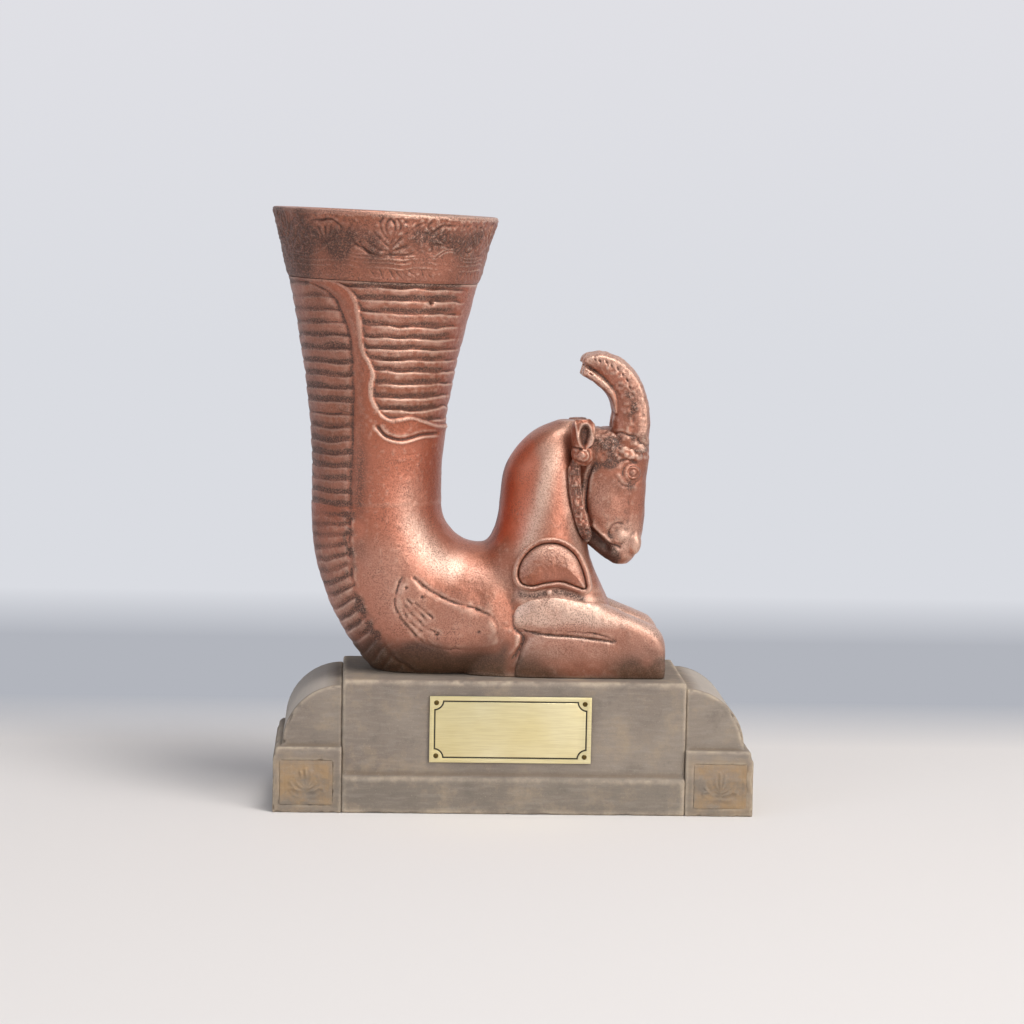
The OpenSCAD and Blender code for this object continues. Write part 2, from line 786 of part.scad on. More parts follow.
beaker();
rim_band();
elbow();
forepart();
head();
horn(BACK);  // horn_left
horn(FRONT);  // horn_right
ear(BACK);  // ear_left
ear(FRONT);  // ear_right
eye(BACK);  // eye_left
eye(FRONT);  // eye_right
ruff(BACK);  // ruff_left
ruff(FRONT);  // ruff_right
foreleg(BACK);  // foreleg_left
foreleg(FRONT);  // foreleg_right
shoulder_plate(BACK);  // shoulder_plate_left
shoulder_plate(FRONT);  // shoulder_plate_right
neck_dowel();
horn_pegs();
shoulder_pins();
foot_inserts();
foot_screws();
foot_washers();
plinth_block();
plinth_wing(-1);  // plinth_wing_left
plinth_wing(1);  // plinth_wing_right
plinth_dowels();
corner_tile(-1, FRONT);  // tile_front_left
corner_tile(1, FRONT);  // tile_front_right
corner_tile(-1, BACK);  // tile_back_left
corner_tile(1, BACK);  // tile_back_right
nameplate();
nameplate_pins();
felt_pad();
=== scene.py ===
import math

import bmesh
import bpy
import numpy as np
from mathutils import Matrix, Quaternion, Vector


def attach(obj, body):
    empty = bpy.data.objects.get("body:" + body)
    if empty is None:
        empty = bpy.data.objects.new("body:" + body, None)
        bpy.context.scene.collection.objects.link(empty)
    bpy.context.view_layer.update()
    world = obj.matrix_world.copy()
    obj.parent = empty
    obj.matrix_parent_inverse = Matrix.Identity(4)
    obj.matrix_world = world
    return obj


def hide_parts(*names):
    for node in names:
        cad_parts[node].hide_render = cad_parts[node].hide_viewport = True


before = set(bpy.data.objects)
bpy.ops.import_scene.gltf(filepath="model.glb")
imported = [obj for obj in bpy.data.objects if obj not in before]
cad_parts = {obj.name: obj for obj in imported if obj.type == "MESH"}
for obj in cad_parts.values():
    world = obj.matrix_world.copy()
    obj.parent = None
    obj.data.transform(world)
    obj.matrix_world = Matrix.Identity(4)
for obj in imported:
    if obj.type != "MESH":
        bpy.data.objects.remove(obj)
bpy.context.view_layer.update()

MM = 0.001
FRONT, BACK = -1, 1

# Camera, stage and lamps

AZIMUTH, ELEVATION, ROLL = (math.radians(a) for a in (-2.66, 5.57, 1.06))
AIM = Vector((-0.7, 0, 88.3)) * MM
DISTANCE = 1036.6 * MM
LENS, SENSOR = 119.53, 36

camera_data = bpy.data.cameras.new("camera")
camera_data.sensor_width = SENSOR
camera_data.lens = LENS
camera_data.clip_end = 20
camera = bpy.data.objects.new("camera", camera_data)
bpy.context.scene.collection.objects.link(camera)
back = Vector((
    math.sin(AZIMUTH) * math.cos(ELEVATION),
    -math.cos(AZIMUTH) * math.cos(ELEVATION),
    math.sin(ELEVATION),
))
camera.rotation_mode = "QUATERNION"
camera.location = AIM + back * DISTANCE
camera.rotation_quaternion = (-back).to_track_quat("-Z", "Y") @ Quaternion((0, 0, 1), ROLL)
bpy.context.scene.camera = camera
bpy.context.scene.view_settings.view_transform = "Standard"


def colour(text):
    """sRGB hex to linear RGBA."""
    parts = [int(text[i:i + 2], 16) / 255 for i in (1, 3, 5)]
    return [p / 12.92 if p <= 0.04045 else ((p + 0.055) / 1.055) ** 2.4 for p in parts] + [1]


def lamp(name, place, size, watts, tint="#FFFFFF"):
    """A square area lamp aimed at the middle of the object."""
    data = bpy.data.lights.new(name, "AREA")
    data.size = size
    data.energy = watts
    data.color = colour(tint)[:3]
    made = bpy.data.objects.new(name, data)
    made.location = place
    made.rotation_mode = "QUATERNION"
    made.rotation_quaternion = (AIM - Vector(place)).to_track_quat("-Z", "Y")
    bpy.context.scene.collection.objects.link(made)


lamp("key_right", (1.3, -1.4, 0.75), 0.9, 19, "#FFF7F0")
lamp("top", (0.3, -0.45, 1.35), 0.6, 10.5, "#FFFAF5")
lamp("fill_left", (-1.3, -1.2, 0.6), 0.9, 4.3, "#EEF3FF")

# Nodes and materials


def add(tree, kind, sockets=(), out=0, **settings):
    """Adds a node with its settings, sets or links its sockets, and gives one of its outputs.

    Numbered sockets: MapRange has its value at 0, its input range at 1 and 2 and its output
    range at 3 and 4. Mix has its share at 0 and its colours at 6 and 7. Math has its terms at 0
    and 1.
    """
    node = tree.nodes.new("ShaderNode" + kind)
    for name, value in settings.items():
        setattr(node, name, value)
    for key, value in dict(sockets).items():
        if isinstance(value, bpy.types.NodeSocket):
            tree.links.new(value, node.inputs[key])
        else:
            node.inputs[key].default_value = value
    return node.outputs[out] if len(node.outputs) else None


def new_material(name):
    """An empty material, its node tree, and the place on the object that its patterns follow."""
    made = bpy.data.materials.new(name)
    made.use_nodes = True
    made.node_tree.nodes.clear()
    return made, made.node_tree, add(made.node_tree, "TexCoord", out="Object")


# Copper paint over fired clay, antiqued: dark wax left in the hollows and worn off the crests.
# It gives a soft metallic glow, dark and pale speckle where the clay is rough, creamy worn tops
# and crests that also paint in highlights, a redder tone with a painted orange-red reflection on
# the back of the neck, painted shade in the dark wax tone, and brown dirt with painted shade at
# the foot.
def copper_paint(name, speckle_from, wax):
    made, tree, place = new_material(name)
    height = add(tree, "SeparateXYZ", {0: place}, out="Z")
    hollow, crest, warm, wax_and_shade, rubbed_and_highlight, grime_and_shade = (
        add(tree, "Attribute", out="Fac", attribute_name=n)
        for n in ("hollow", "crest", "warm", "wax_and_shade", "rubbed_and_highlight", "grime_and_shade")
    )
    grit, grain, patch, cloud = (
        add(tree, "TexNoise", {
            "Vector": place, "Scale": 1 / (size * MM), "Detail": detail, "Roughness": rough,
        })
        for size, detail, rough in ((0.45, 3, 0.7), (1.3, 4, 0.75), (7, 4, 0.6), (26, 3, 0.55))
    )
    # Noise stays near a half, so a narrow range round a half becomes the whole range of a share
    dark_grit = add(tree, "MapRange", {0: grit, 1: 0.49, 2: 0.4})
    pale_grit = add(tree, "MapRange", {0: grit, 1: 0.52, 2: 0.64})
    speck_zone = add(tree, "MapRange", {0: patch, 1: speckle_from, 2: speckle_from + 0.22, 3: 0.3})
    speck = add(tree, "Math", {0: dark_grit, 1: speck_zone}, operation="MULTIPLY")
    speck = add(tree, "Math", {0: speck, 1: wax}, operation="MULTIPLY")
    blot = add(tree, "MapRange", {0: grain, 1: 0.6, 2: 0.7, 4: 0.55})
    speck = add(tree, "Math", {0: speck, 1: blot}, operation="MAXIMUM")
    # Pale speckle, thicker where the paint is worn pale and a highlight is painted in
    pale = add(tree, "MapRange", {0: rubbed_and_highlight, 3: 0.14, 4: 0.3})
    pale = add(tree, "Math", {0: pale_grit, 1: pale}, operation="MULTIPLY")
    # Creamy worn paint, which also paints in a highlight
    worn = add(tree, "MapRange", {0: grit, 1: 0.42, 2: 0.56, 3: 0.6, 4: 1})
    worn = add(tree, "Math", {0: worn, 1: rubbed_and_highlight}, operation="MULTIPLY", use_clamp=True)
    # Pale crests: worn edges, and a painted highlight on the lips of the ribs
    edge = add(tree, "Math", {0: crest, 1: 0.8}, operation="MULTIPLY", use_clamp=True)
    tone = add(tree, "Mix", {
        0: add(tree, "MapRange", {0: cloud, 1: 0.38, 2: 0.62}),
        6: colour("#A3634B"), 7: colour("#B87862"),
    }, out=2, data_type="RGBA")
    for share, over in ((pale, "#DCAC96"), (warm, "#BE5C38"), (worn, "#EBC9B6"), (edge, "#EAC3AE")):
        tone = add(tree, "Mix", {0: share, 6: tone, 7: colour(over)}, out=2, data_type="RGBA")
    # Dark wax in the hollows and specks, dirt with painted shade at the foot, and wax with painted shade
    # where each piece stores it, all laid on as one dark tone
    in_grime_and_shade = add(tree, "MapRange", {0: grit, 1: 0.62, 2: 0.44, 3: 0.8, 4: 1})
    in_grime_and_shade = add(tree, "Math", {0: in_grime_and_shade, 1: grime_and_shade}, operation="MULTIPLY")
    in_hollow = add(tree, "MapRange", {0: grit, 1: 0.62, 2: 0.42, 3: 0.55, 4: 1.2})
    in_hollow = add(tree, "Math", {0: in_hollow, 1: hollow}, operation="MULTIPLY", use_clamp=True)
    in_wax_and_shade = add(tree, "MapRange", {0: grit, 1: 0.6, 2: 0.46, 3: 0.42, 4: 1.15})
    in_wax_and_shade = add(tree, "Math", {0: in_wax_and_shade, 1: wax_and_shade}, operation="MULTIPLY", use_clamp=True)
    wax_grime_and_shade = add(tree, "Math", {0: in_hollow, 1: speck}, operation="MAXIMUM")
    for other in (in_grime_and_shade, in_wax_and_shade):
        wax_grime_and_shade = add(tree, "Math", {0: wax_grime_and_shade, 1: other}, operation="MAXIMUM")
    wax_grime_and_shade = add(tree, "Math", {0: wax_grime_and_shade, 1: 0.93}, operation="MULTIPLY")
    wax_and_shade_tone = add(tree, "Mix", {
        0: add(tree, "MapRange", {0: height, 1: 50 * MM, 2: 42 * MM}),
        6: colour("#46332B"), 7: colour("#46351F"),
    }, out=2, data_type="RGBA")
    tone = add(tree, "Mix", {0: wax_grime_and_shade, 6: tone, 7: wax_and_shade_tone}, out=2, data_type="RGBA")
    bump = add(tree, "Bump", {"Height": grit, "Distance": 0.16 * MM, "Strength": 0.5})
    bump = add(tree, "Bump", {"Height": grain, "Distance": 0.3 * MM, "Strength": 0.4, "Normal": bump})
    shader = add(tree, "BsdfPrincipled", {
        "Base Color": tone,
        "Metallic": add(tree, "MapRange", {0: wax_grime_and_shade, 3: 0.72, 4: 0.1}),
        "Roughness": add(tree, "MapRange", {0: wax_grime_and_shade, 3: 0.38, 4: 0.7}),
        "Coat Weight": 0.18, "Coat Roughness": 0.3, "Normal": bump,
    })
    add(tree, "OutputMaterial", {"Surface": shader})
    return made


COPPER = copper_paint("copper_paint_on_clay", 0.42, 0.6)
COPPER_ENGRAVED = copper_paint("copper_paint_on_engraved_clay", 0.34, 0.8)


# Cast stone, a cement and stone dust mix out of a mould: matt taupe, brushed and cloudy, with
# pin holes, tan dust and a painted highlight on its edges, a pale painted highlight on its round
# tops, and a darker tone in the foot band. most is the strongest share of tan stain.
def cast_stone(name, most):
    made, tree, place = new_material(name)
    height = add(tree, "SeparateXYZ", {0: place}, out="Z")
    hollow, crest = (add(tree, "Attribute", out="Fac", attribute_name=n) for n in ("hollow", "crest"))
    brushed = add(tree, "Mapping", {"Vector": place, "Scale": (0.16, 1, 1)})
    grit, blotch, cloud, stroke = (
        add(tree, "TexNoise", {
            "Vector": where, "Scale": 1 / (size * MM), "Detail": detail, "Roughness": rough,
        })
        for where, size, detail, rough in (
            (place, 0.45, 5, 0.7), (place, 9, 6, 0.7), (place, 34, 3, 0.5), (brushed, 1.1, 4, 0.6),
        )
    )
    # A darker tone in the foot band
    foot_band_tone = add(tree, "MapRange", {0: height, 1: 11.6 * MM, 2: 10.6 * MM, 4: 0.6})
    # Tan stain on the corners of the foot, over tiles and wings alike
    across = add(tree, "Math", {0: add(tree, "SeparateXYZ", {0: place}, out="X")}, operation="ABSOLUTE")
    stain = add(tree, "MapRange", {0: blotch, 1: 0.4, 2: 0.6, 3: 0.12 * most, 4: most})
    for share in (
        add(tree, "MapRange", {0: across, 1: 51 * MM, 2: 56 * MM}),
        add(tree, "MapRange", {0: height, 1: 18.5 * MM, 2: 14 * MM}),
    ):
        stain = add(tree, "Math", {0: stain, 1: share}, operation="MULTIPLY")
    # Tan dust along the edges, and a painted highlight on them
    edge = add(tree, "MapRange", {0: blotch, 1: 0.42, 2: 0.6, 3: 0.2, 4: 0.8})
    edge = add(tree, "Math", {0: crest, 1: edge}, operation="MULTIPLY", use_clamp=True)
    # A pale highlight painted on the round tops of the wings, off their flat faces
    depth = add(tree, "Math", {0: add(tree, "SeparateXYZ", {0: place}, out="Y")}, operation="ABSOLUTE")
    top_highlight = add(tree, "MapRange", {0: depth, 1: 24.6 * MM, 2: 23 * MM, 4: 0.6})
    for share in (
        add(tree, "MapRange", {0: across, 1: 53 * MM, 2: 57 * MM}),
        add(tree, "MapRange", {0: height, 1: 19 * MM, 2: 24 * MM}),
    ):
        top_highlight = add(tree, "Math", {0: top_highlight, 1: share}, operation="MULTIPLY")
    dirt = add(tree, "Math", {0: hollow, 1: 0.65}, operation="MULTIPLY", use_clamp=True)
    tone = add(tree, "Mix", {
        0: add(tree, "MapRange", {0: cloud, 1: 0.38, 2: 0.62}),
        6: colour("#82776D"), 7: colour("#94897D"),
    }, out=2, data_type="RGBA")
    for share, over in (
        (foot_band_tone, "#7C7469"),
        (add(tree, "MapRange", {0: blotch, 1: 0.5, 2: 0.68, 4: 0.6}), "#A8967F"),
        (add(tree, "MapRange", {0: blotch, 1: 0.44, 2: 0.3, 4: 0.55}), "#6F675F"),
        (add(tree, "MapRange", {0: stroke, 1: 0.5, 2: 0.66, 4: 0.2}), "#A9A298"),
        (add(tree, "MapRange", {0: stroke, 1: 0.46, 2: 0.34, 4: 0.16}), "#6F6D69"),
        (stain, "#A8875C"),
        (top_highlight, "#C9C2BA"),
        (edge, "#BDAE9A"),
        (dirt, "#6B5B49"),
        (add(tree, "MapRange", {0: grit, 1: 0.62, 2: 0.72, 4: 0.6}), "#5C564E"),
        (add(tree, "MapRange", {0: grit, 1: 0.4, 2: 0.28, 4: 0.4}), "#C2B8AA"),
    ):
        tone = add(tree, "Mix", {0: share, 6: tone, 7: colour(over)}, out=2, data_type="RGBA")
    bump = add(tree, "Bump", {"Height": grit, "Distance": 0.15 * MM, "Strength": 0.5})
    bump = add(tree, "Bump", {"Height": stroke, "Distance": 0.2 * MM, "Strength": 0.35, "Normal": bump})
    shader = add(tree, "BsdfPrincipled", {"Base Color": tone, "Roughness": 0.85, "Normal": bump})
    add(tree, "OutputMaterial", {"Surface": shader})
    return made


STONE = cast_stone("cast_stone", 0.35)
STAINED_STONE = cast_stone("stained_cast_stone", 0.65)


# Rolled brass sheet with a satin face: pale gold with fine rolling lines along its width, a
# little dull tarnish, and dark enamel in the engraved line.
def brass_sheet():
    made, tree, place = new_material("satin_brass_sheet")
    depth = add(tree, "SeparateXYZ", {0: place}, out="Y")
    rolled = add(tree, "Mapping", {"Vector": place, "Scale": (0.04, 1, 1)})
    lines = add(tree, "TexNoise", {
        "Vector": rolled, "Scale": 1 / (0.3 * MM), "Detail": 3, "Roughness": 0.6,
    })
    tarnish = add(tree, "TexNoise", {
        "Vector": place, "Scale": 1 / (16 * MM), "Detail": 3, "Roughness": 0.5,
    })
    enamel = add(tree, "MapRange", {0: depth, 1: -27.16 * MM, 2: -27.06 * MM})
    tone = add(tree, "Mix", {
        0: add(tree, "MapRange", {0: tarnish, 1: 0.4, 2: 0.66, 4: 0.7}),
        6: colour("#F3E8BC"), 7: colour("#E8D9A2"),
    }, out=2, data_type="RGBA")
    rolling = add(tree, "MapRange", {0: lines, 1: 0.4, 2: 0.66, 4: 0.3})
    for share, over in ((rolling, "#CDBB84"), (enamel, "#37301F")):
        tone = add(tree, "Mix", {0: share, 6: tone, 7: colour(over)}, out=2, data_type="RGBA")
    bump = add(tree, "Bump", {"Height": lines, "Distance": 0.02 * MM, "Strength": 0.4})
    shader = add(tree, "BsdfPrincipled", {
        "Base Color": tone,
        "Metallic": add(tree, "MapRange", {0: enamel, 3: 0.7, 4: 0}),
        "Roughness": add(tree, "MapRange", {0: tarnish, 1: 0.3, 2: 0.7, 3: 0.36, 4: 0.5}),
        "Normal": bump,
    })
    add(tree, "OutputMaterial", {"Surface": shader})
    return made


# Machined metal of pins, screws and inserts: even, with fine turning marks and a dull bloom.
def turned_metal(name, base, bloom, rough):
    made, tree, place = new_material(name)
    marks = add(tree, "TexNoise", {
        "Vector": place, "Scale": 1 / (0.25 * MM), "Detail": 2, "Roughness": 0.5,
    })
    dull = add(tree, "TexNoise", {
        "Vector": place, "Scale": 1 / (3 * MM), "Detail": 3, "Roughness": 0.6,
    })
    tone = add(tree, "Mix", {
        0: add(tree, "MapRange", {0: dull, 1: 0.4, 2: 0.7, 4: 0.5}), 6: colour(base), 7: colour(bloom),
    }, out=2, data_type="RGBA")
    bump = add(tree, "Bump", {"Height": marks, "Distance": 0.02 * MM, "Strength": 0.5})
    shader = add(tree, "BsdfPrincipled", {
        "Base Color": tone, "Metallic": 1.0, "Roughness": rough, "Normal": bump,
    })
    add(tree, "OutputMaterial", {"Surface": shader})
    return made


STEEL = turned_metal("zinc_plated_steel", "#A9ABAD", "#6E6A64", 0.35)
BRASS = turned_metal("turned_brass", "#D9BF6A", "#9C8A55", 0.32)
DARK_BRASS = turned_metal("browned_brass", "#6E5C36", "#453A26", 0.45)


# Beech dowel: pale pinkish wood with short flecks along the grain, which runs along X.
def beech():
    made, tree, place = new_material("beech")
    along = add(tree, "Mapping", {"Vector": place, "Scale": (0.12, 1, 1)})
    grain = add(tree, "TexNoise", {
        "Vector": along, "Scale": 1 / (0.7 * MM), "Detail": 4, "Roughness": 0.65,
    })
    tone = add(tree, "Mix", {
        0: add(tree, "MapRange", {0: grain, 1: 0.35, 2: 0.65}),
        6: colour("#D9B58C"), 7: colour("#B98F63"),
    }, out=2, data_type="RGBA")
    bump = add(tree, "Bump", {"Height": grain, "Distance": 0.05 * MM, "Strength": 0.4})
    shader = add(tree, "BsdfPrincipled", {"Base Color": tone, "Roughness": 0.6, "Normal": bump})
    add(tree, "OutputMaterial", {"Surface": shader})
    return made


# Pressed wool felt: dark green, matt, with a fuzzy sheen of short fibres.
def felt():
    made, tree, place = new_material("wool_felt")
    fibre = add(tree, "TexNoise", {
        "Vector": place, "Scale": 1 / (0.35 * MM), "Detail": 5, "Roughness": 0.8,
    })
    tone = add(tree, "Mix", {
        0: add(tree, "MapRange", {0: fibre, 1: 0.35, 2: 0.65}),
        6: colour("#2E3B2C"), 7: colour("#46583F"),
    }, out=2, data_type="RGBA")
    bump = add(tree, "Bump", {"Height": fibre, "Distance": 0.2 * MM, "Strength": 0.8})
    shader = add(tree, "BsdfPrincipled", {
        "Base Color": tone, "Roughness": 0.95, "Normal": bump,
        "Sheen Weight": 0.4, "Sheen Roughness": 0.5,
    })
    add(tree, "OutputMaterial", {"Surface": shader})
    return made


BEECH = beech()
FELT = felt()


# Pale studio paper. Near the object it is lit and holds the shadow. Far behind it, what the
# camera and shiny surfaces see is an even tone that joins the backdrop, without more light.
def studio_paper(name, near, tones):
    made, tree, place = new_material(name)
    parts = {axis: add(tree, "SeparateXYZ", {0: place}, out=axis) for axis in "YZ"}
    tone = colour(tones[0][3])
    for axis, start, end, over in tones[1:]:
        share = add(tree, "MapRange", {0: parts[axis], 1: start, 2: end})
        tone = add(tree, "Mix", {0: share, 6: tone, 7: colour(over)}, out=2, data_type="RGBA")
    seen = add(tree, "LightPath", out="Is Camera Ray")
    for kind in ("Is Glossy Ray", "Is Transmission Ray"):
        seen = add(tree, "Math", {0: seen, 1: add(tree, "LightPath", out=kind)}, operation="MAXIMUM")
    axis, start, end, _ = tones[0]
    far = add(tree, "MapRange", {0: parts[axis], 1: start, 2: end})
    seen = add(tree, "Math", {0: seen, 1: far}, operation="MULTIPLY")
    matt = add(tree, "BsdfDiffuse", {"Color": colour(near)})
    glow = add(tree, "Emission", {"Color": tone, "Strength": 1.0})
    add(tree, "OutputMaterial", {"Surface": add(tree, "MixShader", {0: seen, 1: matt, 2: glow})})
    return made


world = bpy.data.worlds.new("studio")
bpy.context.scene.world = world
world.use_nodes = True
world.node_tree.nodes.clear()
sky = add(world.node_tree, "Background", {"Color": colour("#DFE1E6"), "Strength": 0.45})
add(world.node_tree, "OutputWorld", {"Surface": sky})


def meshed(bm, name):
    """Turns a bmesh into a new mesh."""
    mesh = bpy.data.meshes.new(name)
    bm.to_mesh(mesh)
    bm.free()
    return mesh


def plain_object(name, mesh, material):
    """An object at the origin, with one material."""
    made = bpy.data.objects.new(name, mesh)
    mesh.materials.clear()
    mesh.materials.append(material)
    bpy.context.scene.collection.objects.link(made)
    return made


def stage_sheet(name, corner, along_x, along_other, material):
    """A flat rectangle of the stage."""
    bm = bmesh.new()
    bmesh.ops.create_grid(bm, x_segments=1, y_segments=1, size=0.5)
    for v in bm.verts:
        v.co = Vector(corner) + Vector(along_x) * (v.co.x + 0.5) + Vector(along_other) * (v.co.y + 0.5)
    plain_object(name, meshed(bm, name), material)


stage_sheet("table", (-4, -3, 0), (8, 0, 0), (0, 4.6, 0), studio_paper("table_paper", "#E9E7E6", (
    ("Y", 0.1, 0.2, "#B2B5BD"), ("Y", 0.36, 0.52, "#DADCE2"),
)))
stage_sheet("backdrop", (-4, 1.6, 0), (8, 0, 0), (0, 0, 4), studio_paper("backdrop_paper", "#C8C8CC", (
    ("Z", -1, -0.5, "#DADCE2"), ("Z", 0.05, 0.5, "#E3E2E7"),
)))

# Sums


def mix(a, b, t):
    """From a at 0 to b at 1."""
    return a + (b - a) * t


def ease(t):
    """From 0 to 1 as t does, with soft ends."""
    u = np.clip(t, 0, 1)
    return u * u * (3 - 2 * u)


def bell(d, width):
    """1 at 0, and hardly anything past twice the width."""
    return np.exp(-((d / width) ** 2))


def signed_power(v, e):
    return np.sign(v) * np.abs(v) ** e


def through(rows, s):
    """The smooth curve through rows, where s counts rows."""
    rows = np.asarray(rows, float)
    last = len(rows) - 1
    i = np.clip(np.floor(s).astype(int), 0, last - 1)
    t = (s - i)[..., None]
    a, b, c, d = (rows[np.clip(i + k, 0, last)] for k in (-1, 0, 1, 2))
    square = 2 * a - 5 * b + 4 * c - d
    cube = 3 * b - a - 3 * c + d
    return (2 * b + (c - a) * t + square * t ** 2 + cube * t ** 3) / 2


def curve(points, steps=10):
    """The same curve as a fine polyline."""
    return through(points, np.linspace(0, len(points) - 1, steps * (len(points) - 1) + 1))


def height_curve(points):
    """A function of z through (z, value) points."""
    line = curve(points)
    return lambda z: np.interp(z, line[:, 0], line[:, 1])


def off_line(x, z, line):
    """Distance from points to a polyline, and how far along it they are, from 0 to 1."""
    best = np.full(x.shape, 1e9)
    run = np.zeros(x.shape)
    count = len(line) - 1
    for k in range(count):
        ax, az = line[k]
        bx, bz = line[k + 1] - line[k]
        t = np.clip(((x - ax) * bx + (z - az) * bz) / max(bx * bx + bz * bz, 1e-9), 0, 1)
        d = np.hypot(x - ax - t * bx, z - az - t * bz)
        nearer = d < best
        best[nearer] = d[nearer]
        run[nearer] = ((k + t) / count)[nearer]
    return best, run


def cut_line(x, z, points, width, depth, fade=0.12):
    """Depth of a groove along a smooth line, which runs out at both ends."""
    line = curve(points, 6)
    d, run = off_line(x, z, line)
    ends = ease(run / fade) * ease((1 - run) / fade) if fade else 1
    return depth * bell(d, width) * ends


def cuts(x, z, table, fade):
    """Depth of all grooves of a table of lines, widths and depths."""
    return sum(cut_line(x, z, *row, fade) for row in table)


CELLS = 32
TABLES = {}


def lumps(p, size, seed):
    """Smooth random lumps of about size mm, from -1 to 1."""
    if seed not in TABLES:
        TABLES[seed] = np.random.default_rng(seed).random((CELLS,) * 3) * 2 - 1
    table = TABLES[seed]
    q = p / size
    cell = np.floor(q).astype(int)
    f = ease(q - cell)
    total = np.zeros(len(p))
    for corner in np.ndindex(2, 2, 2):
        share = np.prod(np.where(np.array(corner) == 1, f, 1 - f), axis=1)
        total += share * table[tuple(((cell + corner) % CELLS).T)]
    return total


# Making meshes


def points_of(mesh):
    flat = np.empty(len(mesh.vertices) * 3, np.float32)
    mesh.vertices.foreach_get("co", flat)
    return flat.reshape(-1, 3).astype(float) / MM


def set_points(mesh, points):
    mesh.vertices.foreach_set("co", (points * MM).astype(np.float32).ravel())
    mesh.update()


def normals_of(mesh):
    flat = np.empty(len(mesh.vertices) * 3, np.float32)
    mesh.vertex_normals.foreach_get("vector", flat)
    return flat.reshape(-1, 3).astype(float)


MERGE = 1e-6


def tidied(mesh):
    """Closes seams and poles, then turns the faces outwards."""
    bm = bmesh.new()
    bm.from_mesh(mesh)
    bmesh.ops.remove_doubles(bm, verts=bm.verts, dist=MERGE)
    bmesh.ops.recalc_face_normals(bm, faces=bm.faces)
    bm.to_mesh(mesh)
    bm.free()
    return mesh


# Past this share of a wrapped grid lies its last ring
LAST_RING = 0.9999


def wrapped(name, across, along, place):
    """A grid wrapped into a closed skin by place(u, v), with u and v from 0 to 1."""
    bm = bmesh.new()
    bmesh.ops.create_grid(bm, x_segments=across, y_segments=along, size=0.5)
    mesh = meshed(bm, name)
    grid = points_of(mesh) * MM + 0.5
    set_points(mesh, place(grid[:, 0], grid[:, 1]))
    return tidied(mesh)


def loft(name, rows, sides=72, steps=8, low=None):
    """A closed form through rows of [upper x, upper z, lower x, lower z, half width, squareness, y].

    It has so many steps between rows, and nothing lower than low.
    """
    rings = steps * (len(rows) - 1)

    def place(u, v):
        k = np.round(v * (rings + 2))
        row = through(rows, np.clip((k - 1) / steps, 0, len(rows) - 1))
        size = np.where((k < 0.5) | (k > rings + 1.5), 0, 1)
        angle = 2 * np.pi * u
        power = 2 / row[:, 5]
        up = signed_power(np.sin(angle), power) * size
        out = signed_power(np.cos(angle), power) * size
        x = (row[:, 0] + row[:, 2]) / 2 + (row[:, 0] - row[:, 2]) / 2 * up
        z = (row[:, 1] + row[:, 3]) / 2 + (row[:, 1] - row[:, 3]) / 2 * up
        if low is not None:
            z = np.maximum(z, low)
        return np.stack([x, row[:, 6] + row[:, 4] * out, z], 1)

    return wrapped(name, sides, rings + 2, place)


def on_side(mesh, side):
    """Mirrors a mesh made for the front to the back."""
    if side == BACK:
        mesh.transform(Matrix.Diagonal((1, -1, 1, 1)))
        tidied(mesh)
    return mesh


def together(name, meshes):
    """One mesh of several, still apart."""
    bm = bmesh.new()
    for mesh in meshes:
        bm.from_mesh(mesh)
    return meshed(bm, name)


def with_modifiers(mesh, *settings):
    """The mesh after these modifiers, each given as (kind, {setting: value})."""
    carrier = bpy.data.objects.new("carrier", mesh)
    bpy.context.scene.collection.objects.link(carrier)
    for kind, values in settings:
        modifier = carrier.modifiers.new(kind, kind)
        for name, value in values.items():
            setattr(modifier, name, value)
    evaluated = carrier.evaluated_get(bpy.context.evaluated_depsgraph_get())
    made = bpy.data.meshes.new_from_object(evaluated)
    bpy.data.objects.remove(carrier)
    return made


def fused(name, meshes, cell):
    """One even skin round several overlapping closed forms."""
    return with_modifiers(
        together(name, meshes),
        ("REMESH", {"mode": "VOXEL", "voxel_size": cell * MM, "use_smooth_shade": True}),
    )


def edges_of(mesh):
    flat = np.empty(len(mesh.edges) * 2, np.int32)
    mesh.edges.foreach_get("vertices", flat)
    return flat.reshape(-1, 2)


def relaxed(edges, values, times, amount=0.5):
    """Values eased towards their neighbours' mean. amount may differ from point to point."""
    a, b = edges[:, 0], edges[:, 1]
    count = np.bincount(a, minlength=len(values)) + np.bincount(b, minlength=len(values))
    count = np.maximum(count, 1)[:, None]
    values = values.copy()
    for _ in range(times):
        total = np.stack([
            np.bincount(a, values[b, k], len(values)) + np.bincount(b, values[a, k], len(values))
            for k in range(values.shape[1])
        ], 1)
        values += (total / count - values) * amount
    return values


def smooth(mesh, times, amount=0.5):
    set_points(mesh, relaxed(edges_of(mesh), points_of(mesh), times, amount))
    return mesh


def carve(mesh, out_of):
    """Moves each point along its normal by out_of(points, normals), in mm."""
    points, normals = points_of(mesh), normals_of(mesh)
    set_points(mesh, points + normals * out_of(points, normals)[:, None])
    return mesh


def store(mesh, name, values):
    layer = mesh.attributes.get(name) or mesh.attributes.new(name, "FLOAT", "POINT")
    layer.data.foreach_set("value", values.astype(np.float32))


def stored(mesh, name):
    values = np.empty(len(mesh.vertices), np.float32)
    mesh.attributes[name].data.foreach_get("value", values)
    return values


